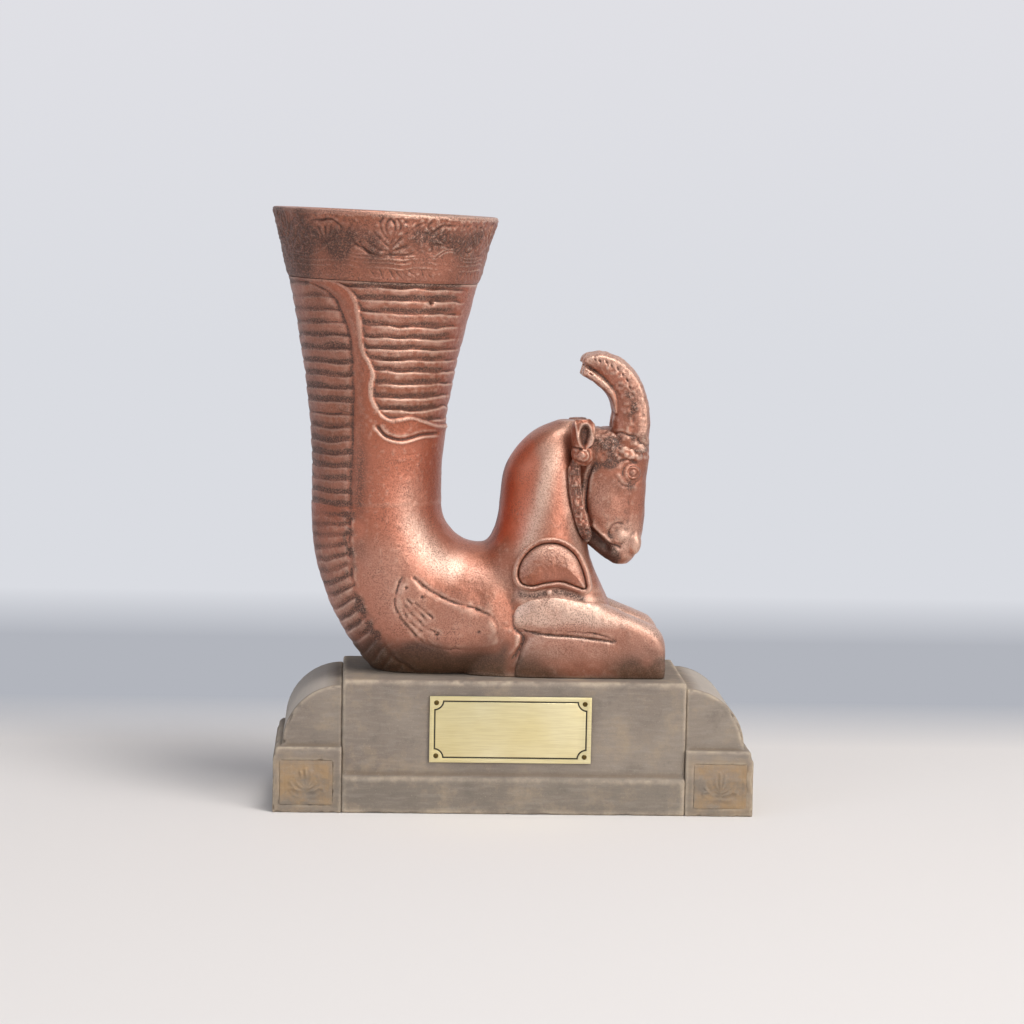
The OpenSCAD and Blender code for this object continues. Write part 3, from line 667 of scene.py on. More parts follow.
def read_wear(mesh, fine=4, broad=30, depth=0.1):
    """Stores how far each point lies in a hollow or on a crest, for the wax and the worn edges with their
    painted highlight.
    """
    points, normals, edges = points_of(mesh), normals_of(mesh), edges_of(mesh)
    small = ((points - relaxed(edges, points, fine)) * normals).sum(1)
    large = ((points - relaxed(edges, points, broad)) * normals).sum(1)
    relief = relaxed(edges, (small + 0.45 * large)[:, None], 1)[:, 0] / depth
    store(mesh, "hollow", np.clip(-relief - 0.15, 0, 1))
    store(mesh, "crest", np.clip(relief - 0.25, 0, 1))
    return mesh


def finish_piece(name, mesh, material, nodes, sharp=50):
    """Makes the mesh a piece that stands for these CAD nodes, with edges sharp from an angle on."""
    mesh.name = name
    mesh.shade_smooth()
    mesh.set_sharp_from_angle(angle=math.radians(sharp))
    made = plain_object(name, mesh, material)
    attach(made, "root")
    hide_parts(*nodes)


def keep_half(mesh, at, direction):
    """Cuts a closed mesh by a plane, keeps what lies against direction, and closes the cut."""
    bm = bmesh.new()
    bm.from_mesh(mesh)
    cut = bmesh.ops.bisect_plane(
        bm, geom=[*bm.verts, *bm.edges, *bm.faces], dist=1e-7,
        plane_co=Vector(at) * MM, plane_no=Vector(direction), clear_outer=True,
    )
    rim = [e for e in cut["geom_cut"] if isinstance(e, bmesh.types.BMEdge)]
    bmesh.ops.holes_fill(bm, edges=rim, sides=0)
    return meshed(bm, "half")


def rod(diameter, start, end, sides=48):
    """A closed cylinder between two points."""
    start, end = Vector(start) * MM, Vector(end) * MM
    bm = bmesh.new()
    bmesh.ops.create_cone(
        bm, cap_ends=True, segments=sides, radius1=diameter / 2 * MM, radius2=diameter / 2 * MM,
        depth=(end - start).length,
    )
    turn = (end - start).to_track_quat("Z", "Y").to_matrix().to_4x4()
    bmesh.ops.transform(bm, matrix=Matrix.Translation((start + end) / 2) @ turn, verts=bm.verts)
    return meshed(bm, "rod")


def hollowed(mesh, cutters):
    """The mesh less each of the closed cutters."""
    for cutter in cutters:
        tool = bpy.data.objects.new("cutter", cutter)
        bpy.context.scene.collection.objects.link(tool)
        mesh = with_modifiers(mesh, ("BOOLEAN", {
            "operation": "DIFFERENCE", "object": tool, "solver": "MANIFOLD",
        }))
        bpy.data.objects.remove(tool)
    return mesh


# Cup: beaker and rim band

RIM_Z, MOUTH_R, RIM_TILT, FLARE = 178.8, 33.9, 2, 1.55
WAIST_R, WALL, BAND_H = 19.7, 3.6, 20.4
WAIST_X, MOUTH_X, FLARE_Z = -42.1, -40.5, 100
SEAM_Z, BEND_R, SPIGOT_L, FLOOR_Z, PLINTH_H = 91, 11.8, 6, 54, 40
BAND_Z = RIM_Z - BAND_H
BEND_X = WAIST_X + WAIST_R + BEND_R
SPIGOT_R, BORE_R = WAIST_R - 2.2, WAIST_R - WALL
LIP_Z, BAND_T, BAND_PROUD = RIM_Z - 1.6, 1.4, 0.4
STRIP_PITCH, PANEL_PITCH, PANEL_LOW, MM_PER_DEGREE = 3.9, 3.6, 117, 0.97


def rise(z):
    """Share of the way up the flare, from the waist to the rim."""
    return np.clip((z - FLARE_Z) / (RIM_Z - FLARE_Z), 0, 1)


def cup_radius(z):
    return WAIST_R + (MOUTH_R - WAIST_R) * rise(z) ** FLARE


def cup_points(z, radius, angle):
    """Points at an angle round the cup. 0 faces the back, and 90 degrees the goat."""
    share = rise(z)
    along = radius * np.sin(angle)
    return np.stack([
        mix(WAIST_X, MOUTH_X, share) + along,
        radius * np.cos(angle),
        z - along * np.tan(np.radians(RIM_TILT) * share),
    ], 1)


def flutes(run, pitch):
    """Relief of shingled ribs: each has a sharp upper lip, and a worn groove above it. run goes up."""
    t = run / pitch - np.floor(run / pitch)
    groove = np.where(t < 0.5, bell(t, 0.27), bell(1 - t, 0.08))
    return -0.5 * groove + 0.28 * (t - 0.45) * (1 - groove)


def beaker_wave(points):
    """How far the beaker's ribs stray up and down."""
    return 0.7 * lumps(points, 11, 1) + 0.35 * lumps(points, 4, 2)


def elbow_ribs(points, turn):
    """The run of the ribs round the bend, in mm, with their straying."""
    return -turn * MM_PER_DEGREE + 0.6 * lumps(points, 9, 21) + 0.35 * lumps(points, 3.5, 22)


def flute_wax(points, run, pitch):
    """Share of dark wax between the ribs, broken up along them."""
    t = run / pitch - np.floor(run / pitch)
    kept = np.clip(0.75 + 0.9 * lumps(points * (1, 1, 2.5), 9, 79), 0.1, 1.2)
    return kept * np.maximum(bell(t - 0.2, 0.2), bell(1 - t, 0.07))


# Inner border of the fluted strip on the cup's back, and left border of the fluted panel:
# height, and place from -1 at the cup's back to 1 on the goat's side
STRIP_EDGE = height_curve([
    (85, -0.4), (91, -0.39), (103, -0.376), (114, -0.365), (131, -0.357), (140, -0.37),
    (148.4, -0.45), (153, -0.53), (156, -0.66), (158.4, -0.9),
])
PANEL_EDGE = height_curve([
    (112, -0.06), (119.8, -0.07), (123.7, -0.1), (128, -0.095), (130.8, -0.075), (134, -0.13),
    (138.7, -0.22), (147, -0.255), (152, -0.29), (155, -0.34), (157, -0.44), (158.4, -0.6),
])
PANEL_FOOT = height_curve([
    (-50, 122), (-43.1, 121), (-41.3, 119), (-38.4, 117.4), (-35.3, 117.7), (-32.2, 118.3),
    (-28.3, 117.1), (-24.4, 115.6), (-20, 114.8),
])
SHORT_GROOVE = [
    (-42.6, 116.1), (-41.1, 113.8), (-39.1, 112.3), (-35.2, 111.4), (-32.1, 111.9), (-28.2, 112.9),
    (-22.9, 112.9),
]
PIN_HOLE = (-26.4, 152.6)


def beaker_relief(points, up, z, radius):
    """How far the beaker's skin stands out from its plain flared form."""
    x, y = points[:, 0], points[:, 1]
    wave = beaker_wave(points)
    deep = np.clip(0.85 + 0.7 * lumps(points, 5, 3), 0.2, 1.5)
    from_strip = (STRIP_EDGE(z) - up) * radius + 0.4 * lumps(points, 3, 6)
    strip = ease(from_strip / 1.4 + 0.3)
    side = (up - PANEL_EDGE(z)) * radius + 0.25 * lumps(points, 2.5, 7)
    foot = z - PANEL_FOOT(x)
    inside = -1.1 * np.log(np.exp(-side / 1.1) + np.exp(-foot / 1.1))
    right = ease((up - 0.78) / 0.16) * ease((z - 136) / 8)
    field = ease(inside / 0.9) * (1 - right)
    rim = 0.4 + 0.6 * ease((1 - np.abs(up)) / 0.12)
    out = strip * deep * rim * 0.85 * flutes(z - SEAM_Z + wave, STRIP_PITCH)
    out -= 0.4 * bell(from_strip - 0.3, 0.8) * ease((BAND_Z - z) / 3)
    out -= 0.4 * ease(inside / 0.8 + 0.2) * (1 - 0.7 * right) * ease((BAND_Z - z) / 2)
    out += field * deep * rim * 0.95 * flutes(z - PANEL_LOW + wave, PANEL_PITCH)
    out += 0.3 * bell(inside + 0.6, 0.45) * ease((158 - z) / 4) * (0.7 + 0.5 * lumps(points, 3, 8))
    out -= cut_line(x, z, SHORT_GROOVE, 0.55, 0.65, 0.1)
    out += cut_line(x, z + 1, SHORT_GROOVE, 0.4, 0.28, 0.15)
    hole = np.hypot(x - PIN_HOLE[0], z - PIN_HOLE[1]) + 9 * (y > 0)
    out -= 1.3 * bell(hole, 0.55)
    out += 0.14 * lumps(points, 5, 4) + 0.05 * lumps(points, 1.3, 5) + 0.03 * lumps(points, 0.7, 9)
    return out * ease((BAND_Z + 0.2 - z) / 0.6) * ease((z - SEAM_Z) / 0.8 + 0.6)


def profile(stations, v):
    """Height and radius offset along a wall's section, from (share, z, offset) stations."""
    shares, heights, offsets = np.array(stations, float).T
    return np.interp(v, shares, heights), np.interp(v, shares, offsets)


def calm(mesh, keep):
    """Takes the worn edge, with its painted highlight, off where keep is below 1."""
    store(mesh, "crest", stored(mesh, "crest") * keep)
    return mesh


def off_seam(z):
    """The seam between beaker and elbow is filled and painted, so its edge is hardly worn and gets little
    painted highlight.
    """
    return 0.12 + 0.88 * ease((np.abs(z - SEAM_Z) - 0.6) / 0.8)


def beaker_mesh():
    stations = [
        (0, SEAM_Z, 0), (0.86, BAND_Z, 0), (0.865, BAND_Z, -BAND_T), (0.9, LIP_Z, -BAND_T),
        (0.91, LIP_Z, -WALL), (0.98, SEAM_Z - SPIGOT_L, -WALL),
        (0.985, SEAM_Z - SPIGOT_L, SPIGOT_R - WAIST_R), (1, SEAM_Z, SPIGOT_R - WAIST_R),
    ]

    def place(u, v):
        # The skin's last ring meets its first
        v = np.where(v > LAST_RING, 0, v)
        z, offset = profile(stations, v)
        angle = 2 * np.pi * u
        radius = cup_radius(z) + offset
        plain = cup_points(z, radius, angle)
        out = beaker_relief(plain, np.sin(angle), z, radius) * (v < 0.862)
        return cup_points(z, radius + out, angle)

    mesh = read_wear(wrapped("beaker", 300, 318, place), 3, 24, 0.08)
    p = points_of(mesh)
    z = p[:, 2]
    up = (p[:, 0] - mix(WAIST_X, MOUTH_X, rise(z))) / cup_radius(z)
    from_strip = (STRIP_EDGE(z) - up) * cup_radius(z)
    keep = off_seam(z) * (1 - 0.8 * bell(from_strip + 1.1, 0.9))
    calm(mesh, keep * (0.45 + 0.55 * ease((up + 0.4) / 0.3)))
    wave = beaker_wave(p)
    on_strip = ease(from_strip / 1.4 + 0.6)
    in_ribs = 0.95 * flute_wax(p, z - SEAM_Z + wave, STRIP_PITCH)
    # Wax between the ribs, and painted shade over the whole strip and under the rim band
    dark = on_strip * (0.24 + 0.25 * lumps(p, 7, 18) + in_ribs)
    # A painted shadow along the strip, over the plain band
    dark += 0.42 * bell(from_strip + 2.2, 2) + 0.35 * bell(from_strip + 3, 3) * ease((114 - z) / 10)
    field = ease((up - PANEL_EDGE(z)) / 0.05) * ease(z - PANEL_FOOT(p[:, 0])) * ease((0.86 - up) / 0.14)
    dark += field * (0.06 + 1.1 * flute_wax(p, z - PANEL_LOW + wave, PANEL_PITCH))
    dark += 0.35 * bell(z - BAND_Z, 1.6) * (0.6 + lumps(p, 4, 19))
    store(mesh, "wax_and_shade", np.clip(dark, 0, 0.9))
    store(mesh, "warm", 0.3 * (1 - on_strip) * (1 - field))
    # A painted highlight down the cup above the bend, as pale worn paint
    store(mesh, "rubbed_and_highlight", 0.42 * bell(up - 0.5, 0.22) * ease((104 - z) / 13))
    return mesh


LOTUS_TURN, SECTOR = math.radians(2.5), math.radians(72)
HALF_SECTOR = 16.2
FRIEZE_CUTS = [
    # Lotus
    [(0, 166.6), (0, 168.4), (0, 170)],
    [(0, 169), (2.5, 171), (4.6, 173.6), (6.6, 175.6), (8, 176)],
    [(0, 170.5), (1.8, 172.8), (2.4, 175.2), (1.7, 177.2)],
    [(0, 171.2), (1, 173.4), (0.9, 175.8), (0, 177.2)],
    [(0.3, 168), (3, 168.6), (5.8, 170.6), (7.4, 172.8), (8.8, 173.3)],
    # Stem, with its scroll and leaves, arching over the palmette
    [
        (0, 167), (2.6, 166.5), (5.6, 167.3), (8, 169.3), (9.6, 172), (11.6, 174.6), (14, 175.9),
        (16.4, 176.3),
    ],
    [(8, 169.3), (9.7, 168.2), (10.8, 169), (10.3, 170.3), (9.3, 170)],
    [(5.6, 167.3), (6.8, 168.6), (7, 170)],
    [(10.6, 173.4), (9.2, 174.9), (9.6, 176.4)],
    # Palmette
    [(16.2, 169.6), (16.2, 171.5), (16.2, 174)],
    [(16, 169.7), (14.9, 171.6), (14.2, 173.6)],
    [(15.8, 169.7), (13.8, 171), (12.6, 172.4)],
    [(15.6, 169.5), (13.4, 170), (11.8, 170.6)],
]


def off_lotus(turn):
    """Distance round the band from the nearest lotus, in the frieze's own units."""
    return (np.mod(turn - LOTUS_TURN + SECTOR / 2, SECTOR) / SECTOR * 2 - 1) * HALF_SECTOR


def band_relief(points, turn, z):
    """Relief of the rim band: frieze, garland, and a narrow band of slanted nicks, all much worn."""
    m = np.abs(off_lotus(turn) + 0.7 * lumps(points, 5, 11))
    h = z + 0.6 * lumps(points, 4, 12)
    faint = np.clip(0.75 + 1.0 * lumps(points, 6, 13), 0.2, 1.3)
    out = np.zeros(len(z))
    for line in FRIEZE_CUTS:
        out -= cut_line(m, h, line, 0.4, 0.4, 0)
    out = np.maximum(out, -0.42) * faint
    swell = 2.6 * bell(m - HALF_SECTOR, 3.4)
    for low, tall in ((165.5, 0.22), (166.4, 0.18)):
        out += tall * bell(h - low - swell, 0.22) * faint
    out += 0.2 * bell(h - 164.3, 0.24) * faint + 0.2 * bell(h - 162.7, 0.22) * faint
    slant = (turn * 30 + 0.8 * (h - SEAM_Z)) / 2.6 + 0.5 * lumps(points, 3, 19)
    nick = np.abs(slant - np.round(slant)) * 2.6
    worn = ease((turn + 0.5) / 0.5) * ease((h - 159.2) / 0.5) * ease((162.4 - h) / 0.5)
    out -= 0.24 * bell(nick, 0.34) * worn * faint
    out += 0.14 * bell(h - 177.9, 0.4)
    out += 0.16 * lumps(points, 3.5, 14) + 0.07 * lumps(points, 0.7, 10)
    out += (0.1 + 0.14 * ease((h - 166) / 2)) * lumps(points, 1.2, 15)
    return out * ease((z - BAND_Z) / 0.5) * ease((RIM_Z - z) / 0.8)


def rim_band_mesh():
    stations = [
        (0, BAND_Z + 0.1, 0.02), (0.05, BAND_Z + 1.1, BAND_PROUD), (0.72, RIM_Z - 1, BAND_PROUD),
        (0.735, RIM_Z - 0.45, BAND_PROUD - 0.15), (0.75, RIM_Z - 0.1, BAND_PROUD - 0.55),
        (0.77, RIM_Z, BAND_PROUD - 1.1), (0.81, RIM_Z, -WALL + 1), (0.84, RIM_Z - 0.3, -WALL + 0.25),
        (0.86, LIP_Z, -WALL), (0.88, LIP_Z, -BAND_T), (0.97, BAND_Z, -BAND_T),
        (0.985, BAND_Z, -0.3), (1, BAND_Z + 0.1, 0.02),
    ]

    def place(u, v):
        z, offset = profile(stations, np.where(v > LAST_RING, 0, v))
        angle = 2 * np.pi * u
        radius = cup_radius(z) + offset
        plain = cup_points(z, radius, angle)
        outer = (v < 0.72) | (v > 0.99)
        out = band_relief(plain, np.pi - angle, z) * outer + 0.08 * lumps(plain, 2.2, 16) * (v < 0.86)
        return cup_points(z, radius + out, angle)

    mesh = read_wear(wrapped("rim_band", 900, 105, place), 3, 20, 0.085)
    p = points_of(mesh)
    turn = np.arctan2(p[:, 0] - MOUTH_X, -p[:, 1])
    side = np.abs(off_lotus(turn))
    cloud = np.clip(0.6 + 1.0 * lumps(p, 6, 17), 0.15, 1)
    z = p[:, 2]
    calm(mesh, (0.4 + 0.6 * ease((z - BAND_Z - 0.5) / 1.5)) * (0.35 + 0.65 * ease((turn + 0.25) / 0.5)))
    # Wax and painted shade: darker in the frieze's ground between the lotuses, below the lip, and over the
    # left side of the band
    dark = 0.4 + 0.65 * ease((side - 2) / 4) * ease((171 - z) / 6 + 1)
    dark *= bell(z - 170, 5.5) * cloud
    dark += 0.24 * (1 + lumps(p, 5, 78)) * ease((176 - z) / 3)
    dark += (0.45 + 0.5 * cloud) * ease((-0.55 - turn) / 0.4) * ease((turn + 3) / 0.5)
    on_outside = np.hypot(p[:, 0] - MOUTH_X, p[:, 1]) > cup_radius(z) - 0.8
    store(mesh, "wax_and_shade", np.clip(dark, 0, 0.9) * on_outside)
    return mesh


def on_plinth(mesh):
    """Keeps a mesh from reaching into the plinth, and gives its points."""
    points = points_of(mesh)
    points[:, 2] = np.maximum(points[:, 2], PLINTH_H + 0.02)
    set_points(mesh, points)
    return points


# Elbow and forepart, cast as one form

JOINT_LOW, JOINT_HIGH = (0.5, PLINTH_H), (-8, 79.5)
SCREW_X, INSERT_D, INSERT_L = (-25, 14), 8, 10


def reach(turn):
    """How far the bend's outer skin lies from its middle, at a turn in degrees."""
    full = 2 * WAIST_R + BEND_R
    if turn < 60:
        return full + 9.5 * (turn / 60) ** 1.8
    return mix(full + 9.5, 54.5, ease((turn - 60) / 30))


def bend_row(turn, near, far, half):
    c, s = math.cos(math.radians(turn)), math.sin(math.radians(turn))
    return [BEND_X - near * c, SEAM_Z - near * s, BEND_X - far * c, SEAM_Z - far * s, half, 2, 0]


def cup_row(z, radius):
    return [WAIST_X + radius, z, WAIST_X - radius, z, radius, 2, 0]


ELBOW_ROWS = [
    [-5, 80, 4.5, PLINTH_H - 4, 17.6, 2.2, 0],
    [-9.2, 79.2, -3.5, 36.2, 19.2, 2.1, 0],
    [BEND_X, SEAM_Z - BEND_R, BEND_X, 36.5, 19.3, 2, 0],
    *[bend_row(turn, BEND_R, reach(turn), WAIST_R) for turn in (82, 74, 66, 58, 50, 42, 34, 26, 18, 9)],
    cup_row(SEAM_Z, WAIST_R), cup_row(SEAM_Z + 5, WAIST_R),
]
CAVITY_ROWS = [
    cup_row(SEAM_Z + 5, BORE_R),
    *[
        bend_row(turn, BEND_R + WALL, reach(turn) - WALL, BORE_R + 0.6 * ease(turn / 30))
        for turn in range(0, 61, 12)
    ],
    [-18, 70, -24, 57, 7, 2, 0],
]
FOREPART_ROWS = [
    [28, 38, -16, 38, 17, 4, 0],
    [29, 50, -16, 50, 17.6, 4, 0],
    [29.3, 60, -16, 60, 17.6, 4, 0],
    [27.2, 66, -15, 66, 17.1, 3.6, 0],
    [24.4, 72, -12.5, 72, 16.4, 3.2, 0],
    [22.6, 78, -9, 78, 15.4, 2.6, 0],
    [22.2, 84, -5.8, 84, 14.2, 2.2, 0],
    [21.5, 92, -4.6, 92, 13.2, 2.2, 0],
    [20.5, 100, -3.7, 100, 12.4, 2.2, 0],
    [19.8, 105, -1.8, 105, 11.6, 2.2, 0],
    [19.3, 110, 1.8, 110, 10.2, 2.1, 0],
    [19, 114, 6.5, 114, 7.8, 2, 0],
    [18.4, 116.8, 13, 116.8, 3.6, 2, 0],
]

LEAF_OUTLINE = [
    (-33.4, 71.4), (-35.7, 65.6), (-36.2, 62.2), (-34.7, 58.4), (-31.7, 54.5), (-29, 51.4),
    (-23.2, 48.6), (-16.6, 48), (-9, 48), (-4.6, 50.3), (-5.2, 53.5), (-6.2, 56.9), (-12.3, 60.7),
    (-19.5, 62.9), (-26.7, 66.7), (-30, 69.8), (-33.4, 71.4),
]
# Lines, widths and depths of the leaf's cuts
LEAF_CUTS = [
    ([
        (-34, 71.3), (-35.7, 65.6), (-36.4, 62.5), (-34.7, 58.4), (-31.7, 54.5), (-29, 51.4),
    ], 0.32, 0.55),
    ([(-29, 51.4), (-26.4, 49.7), (-21, 48.4), (-14, 48.2)], 0.3, 0.18),
    ([
        (-31, 70.4), (-26.7, 66.9), (-23.4, 65), (-19.5, 63.1), (-15.6, 61.8), (-12.3, 60.9), (-7.2, 58.8),
    ], 0.38, 0.65),
    ([(-7.2, 58.8), (-5.8, 56.6), (-5.2, 53.5), (-4.6, 50.3)], 0.32, 0.18),
    ([(-34.1, 64), (-33, 61.6), (-30.9, 59), (-28, 56.2)], 0.26, 0.4),
    ([(-32.6, 63.6), (-29.6, 60.4), (-26.4, 57)], 0.26, 0.5),
    ([(-30.4, 62.6), (-27.6, 60.4), (-24.8, 57.9)], 0.24, 0.45),
    ([(-34, 60.6), (-32, 57.4), (-29.8, 55.2), (-27.6, 53.6)], 0.24, 0.35),
    ([(-28.4, 56.2), (-25.6, 54.4), (-22.4, 53.2)], 0.22, 0.25),
    ([(-27.4, 53.2), (-26.6, 51.4), (-26.2, 50.2)], 0.3, 0.35),
    ([(-24.4, 54.2), (-23.6, 52.4), (-23.2, 51.2)], 0.24, 0.25),
]
LEAF_PITS = [(-32.9, 67), (-28.1, 64.1), (-23.2, 53), (-10.9, 53.8)]
CREASE = [
    (-0.6, 61.5), (-0.3, 57.6), (0.4, 54.7), (2.4, 52.6), (2.3, 50.3), (0.7, 47.3), (-1.1, 45.1),
    (-4.5, 42),
]
PLATE_SHADOW = [(1.5, 65.2), (4.9, 64.7), (9.1, 65.6), (13.2, 66.1), (16.5, 65.2), (20.1, 64)]
# Where a highlight is painted in as pale worn paint, as lines, widths and shares: inside the bend,
# down the neck and its front edge, over the leg, and round the elbow's flank
RUBBED_AND_HIGHLIGHT_LINES = [
    ([(-32.5, 91), (-31, 86.5), (-28, 80.5), (-24, 75.7), (-19, 73)], 3.8, 1.1),
    ([(-19, 73), (-10, 70.3), (-3, 68.2)], 4, 0.3),
    ([(10.6, 107.5), (8.8, 99), (6.8, 91), (5.4, 85), (3.5, 79)], 3, 0.85),
    ([(15, 101), (15.6, 93), (17.6, 85), (20, 77), (22, 68)], 1.7, 0.55),
    ([(1, 65), (9, 65.6), (17, 64.6), (25, 62.6)], 2.2, 0.6),
    ([(-38, 74), (-33, 62), (-22, 56), (-10, 55)], 9, 0.22),
]


def elbow_place(points):
    """Turn round the bend in degrees, and place from -1 outside the bend to 1 inside it."""
    dx, dz = BEND_X - points[:, 0], SEAM_Z - points[:, 2]
    turn = np.degrees(np.arctan2(dz, dx))
    far = np.interp(turn, range(0, 91, 5), [reach(t) for t in range(0, 91, 5)])
    return turn, ((BEND_R + far) / 2 - np.hypot(dx, dz)) / ((far - BEND_R) / 2)


# Inner border of the fluted strip round the bend: turn, and the same place
ELBOW_STRIP = height_curve([
    (-10, -0.39), (0, -0.39), (12.6, -0.43), (27, -0.51), (41, -0.59), (57, -0.62), (70, -0.76),
    (84, -0.9),
])


def inside_line(x, z, line):
    """1 inside a closed line, 0 outside it."""
    inside = np.zeros(x.shape, bool)
    for (ax, az), (bx, bz) in zip(line[:-1], line[1:]):
        crosses = (az > z) != (bz > z)
        with np.errstate(divide="ignore", invalid="ignore"):
            inside ^= crosses & (x < (bx - ax) * (z - az) / (bz - az) + ax)
    return inside.astype(float)


def flank_of(y):
    """1 on both sides of the casting, 0 along its middle."""
    return ease((np.abs(y) - 8) / 5)


def casting_relief(points, normals):
    x, y, z = points.T
    turn, up = elbow_place(points)
    in_bend = ease((x < 0) * (80 - turn) / 14)
    from_strip = (ELBOW_STRIP(turn) - up) * WAIST_R + 0.4 * lumps(points, 3, 29)
    strip = ease(from_strip / 1.4 + 0.3) * in_bend
    deep = np.clip(0.8 + 0.8 * lumps(points, 5, 23), 0.15, 1.5)
    rim = 0.45 + 0.55 * ease((1 - np.abs(up)) / 0.12)
    shallow = 0.35 + 0.65 * ease((turn - 12) / 40)
    out = strip * deep * rim * 0.75 * shallow * flutes(elbow_ribs(points, turn), STRIP_PITCH)
    blobs = np.clip(0.55 + 1.1 * lumps(points, 2.4, 20), 0.1, 1.6)
    out -= 0.5 * bell(from_strip - 0.3, 0.75) * in_bend * blobs
    leaf = curve(LEAF_OUTLINE, 6)
    edge, _ = off_line(x, z, leaf)
    out += 0.16 * inside_line(x, z, leaf) * ease(edge / 1.6)
    wobble = 0.3 * lumps(points, 1.8, 24)
    ragged = np.clip(0.75 + 0.9 * lumps(points, 1.4, 25), 0.1, 1.6)
    out -= cuts(x + wobble, z - wobble, LEAF_CUTS, 0.06) * ragged
    for px, pz in LEAF_PITS:
        out -= 0.6 * bell(np.hypot(x - px, z - pz), 0.38)
    flank = flank_of(y)
    out -= cut_line(x, z, CREASE, 0.9, 0.65, 0.35) * flank
    # The body swells to meet the top of the foreleg
    over_leg = ease((69.5 - z) / 4) * ease((z - 60) / 4) * ease((x + 1) / 4) * ease((30 - x) / 6)
    out += 0.9 * over_leg * flank
    out -= 0.5 * ease((60 - z) / 3) * ease((x - 1) / 3) * flank
    out += 0.16 * lumps(points, 6, 26) + 0.05 * lumps(points, 1.5, 27) + 0.03 * lumps(points, 0.8, 28)
    return out * ease((SEAM_Z - 0.2 - z) / 0.8 + 0.6) * ease((z - PLINTH_H) / 1.5 + 0.2)


def casting_mesh():
    mesh = fused("casting", [
        loft("bend", ELBOW_ROWS, 96, 6, PLINTH_H), loft("body", FOREPART_ROWS, 96, 6, PLINTH_H),
    ], 0.42)
    points = points_of(mesh)
    saddle = bell(points[:, 0] + 6.5, 9) * ease((points[:, 2] - 62) / 8) * ease((96 - points[:, 2]) / 8)
    amount = 0.5 * saddle[:, None] + 0.04
    amount[points[:, 2] < PLINTH_H + 0.5] = 0
    set_points(mesh, relaxed(edges_of(mesh), points, 60, amount))
    points = on_plinth(carve(mesh, casting_relief))
    calm(read_wear(mesh, 4, 30), off_seam(points[:, 2]))
    x, y, z = points.T
    # A painted orange-red reflection down the back of the neck; on the cup's side of the casting, a redder
    # tone like the cup's
    edge = np.interp(z, [76, 82, 86, 90.2, 102.5, 110.6, 114], [1, 4, 6, 7.4, 8.2, 6.4, 3])
    edge += 0.8 * lumps(points, 4, 61)
    warm = 0.7 * ease((edge - x) / 2.5) * ease((z - 77) / 5) * ease((115 - z) / 6) * (x > -8)
    store(mesh, "warm", warm + 0.3 * ease((z - 76) / 12) * (x < -8))
    # A painted highlight as pale worn paint along these lines
    rubbed_and_highlight = np.zeros(len(x))
    for line, width, share in RUBBED_AND_HIGHLIGHT_LINES:
        rubbed_and_highlight = np.maximum(rubbed_and_highlight, share * bell(off_line(x, z, curve(line, 4))[0], width))
    rubbed_and_highlight *= np.clip(0.9 + 0.25 * lumps(points, 4, 62), 0, 1.2) * ease((np.abs(y) - 3) / 6)
    rubbed_and_highlight *= 0.45 + 0.55 * ease((91 - z) / 7 + 20 * (x > -8))
    store(mesh, "rubbed_and_highlight", rubbed_and_highlight)
    turn, up = elbow_place(points)
    in_bend = (x < 0) * ease((86 - turn) / 10)
    from_strip = (ELBOW_STRIP(turn) - up) * WAIST_R
    blobs = np.clip(2 * lumps(points, 2.6, 63) + 0.45, 0, 1)
    wax_and_shade = 1.1 * bell(from_strip - 0.2, 1.6) * blobs * in_bend
    between = 0.2 + 0.25 * lumps(points, 6, 64)
    between += 0.6 * flute_wax(points, elbow_ribs(points, turn), STRIP_PITCH)
    wax_and_shade += ease((from_strip + 0.5) / 1.5) * between * in_bend
    cloud = np.clip(0.5 + lumps(points, 6, 65), 0, 1)
    wax_and_shade += 0.5 * bell(from_strip + 3, 3) * ease((z - 66) / 14) * in_bend * cloud
    wax_and_shade += 0.6 * bell(np.hypot(x + 6, z - 80.5), 5) * np.clip(0.6 + lumps(points, 3, 66), 0, 1)
    # Dirt and painted shade at the foot, where the casting meets the plinth
    grime_and_shade = ease((54.5 + 4 * lumps(points, 6, 60) - z) / 8) * ease((1 - x) / 5)
    grime_and_shade += 0.9 * ease((49 - z) / 5) * ease((x + 3) / 5)
    store(mesh, "grime_and_shade", np.clip(grime_and_shade, 0, 1))
    # Painted shade under the jaw
    wax_and_shade += bell(np.hypot(x - 20.8, z - 82), 3.4) * flank_of(y)
    # A dark rim runs down the back of the neck
    rim = np.interp(z, [80, 86, 92, 98, 103.5], [-4.6, -4, -3.1, -2.4, -1.4])
    nape = ease((z - 80) / 5) * ease((105.5 - z) / 2) * (x > -12) * bell(y, 4)
    wax_and_shade += 0.75 * ease((rim - x) / 0.5) * nape
    # Painted shadow under the shoulder plate
    wax_and_shade += 0.9 * bell(off_line(x, z, curve(PLATE_SHADOW))[0], 1.1) * flank_of(y)
    store(mesh, "wax_and_shade", np.clip(wax_and_shade, 0, 0.95))
    return mesh


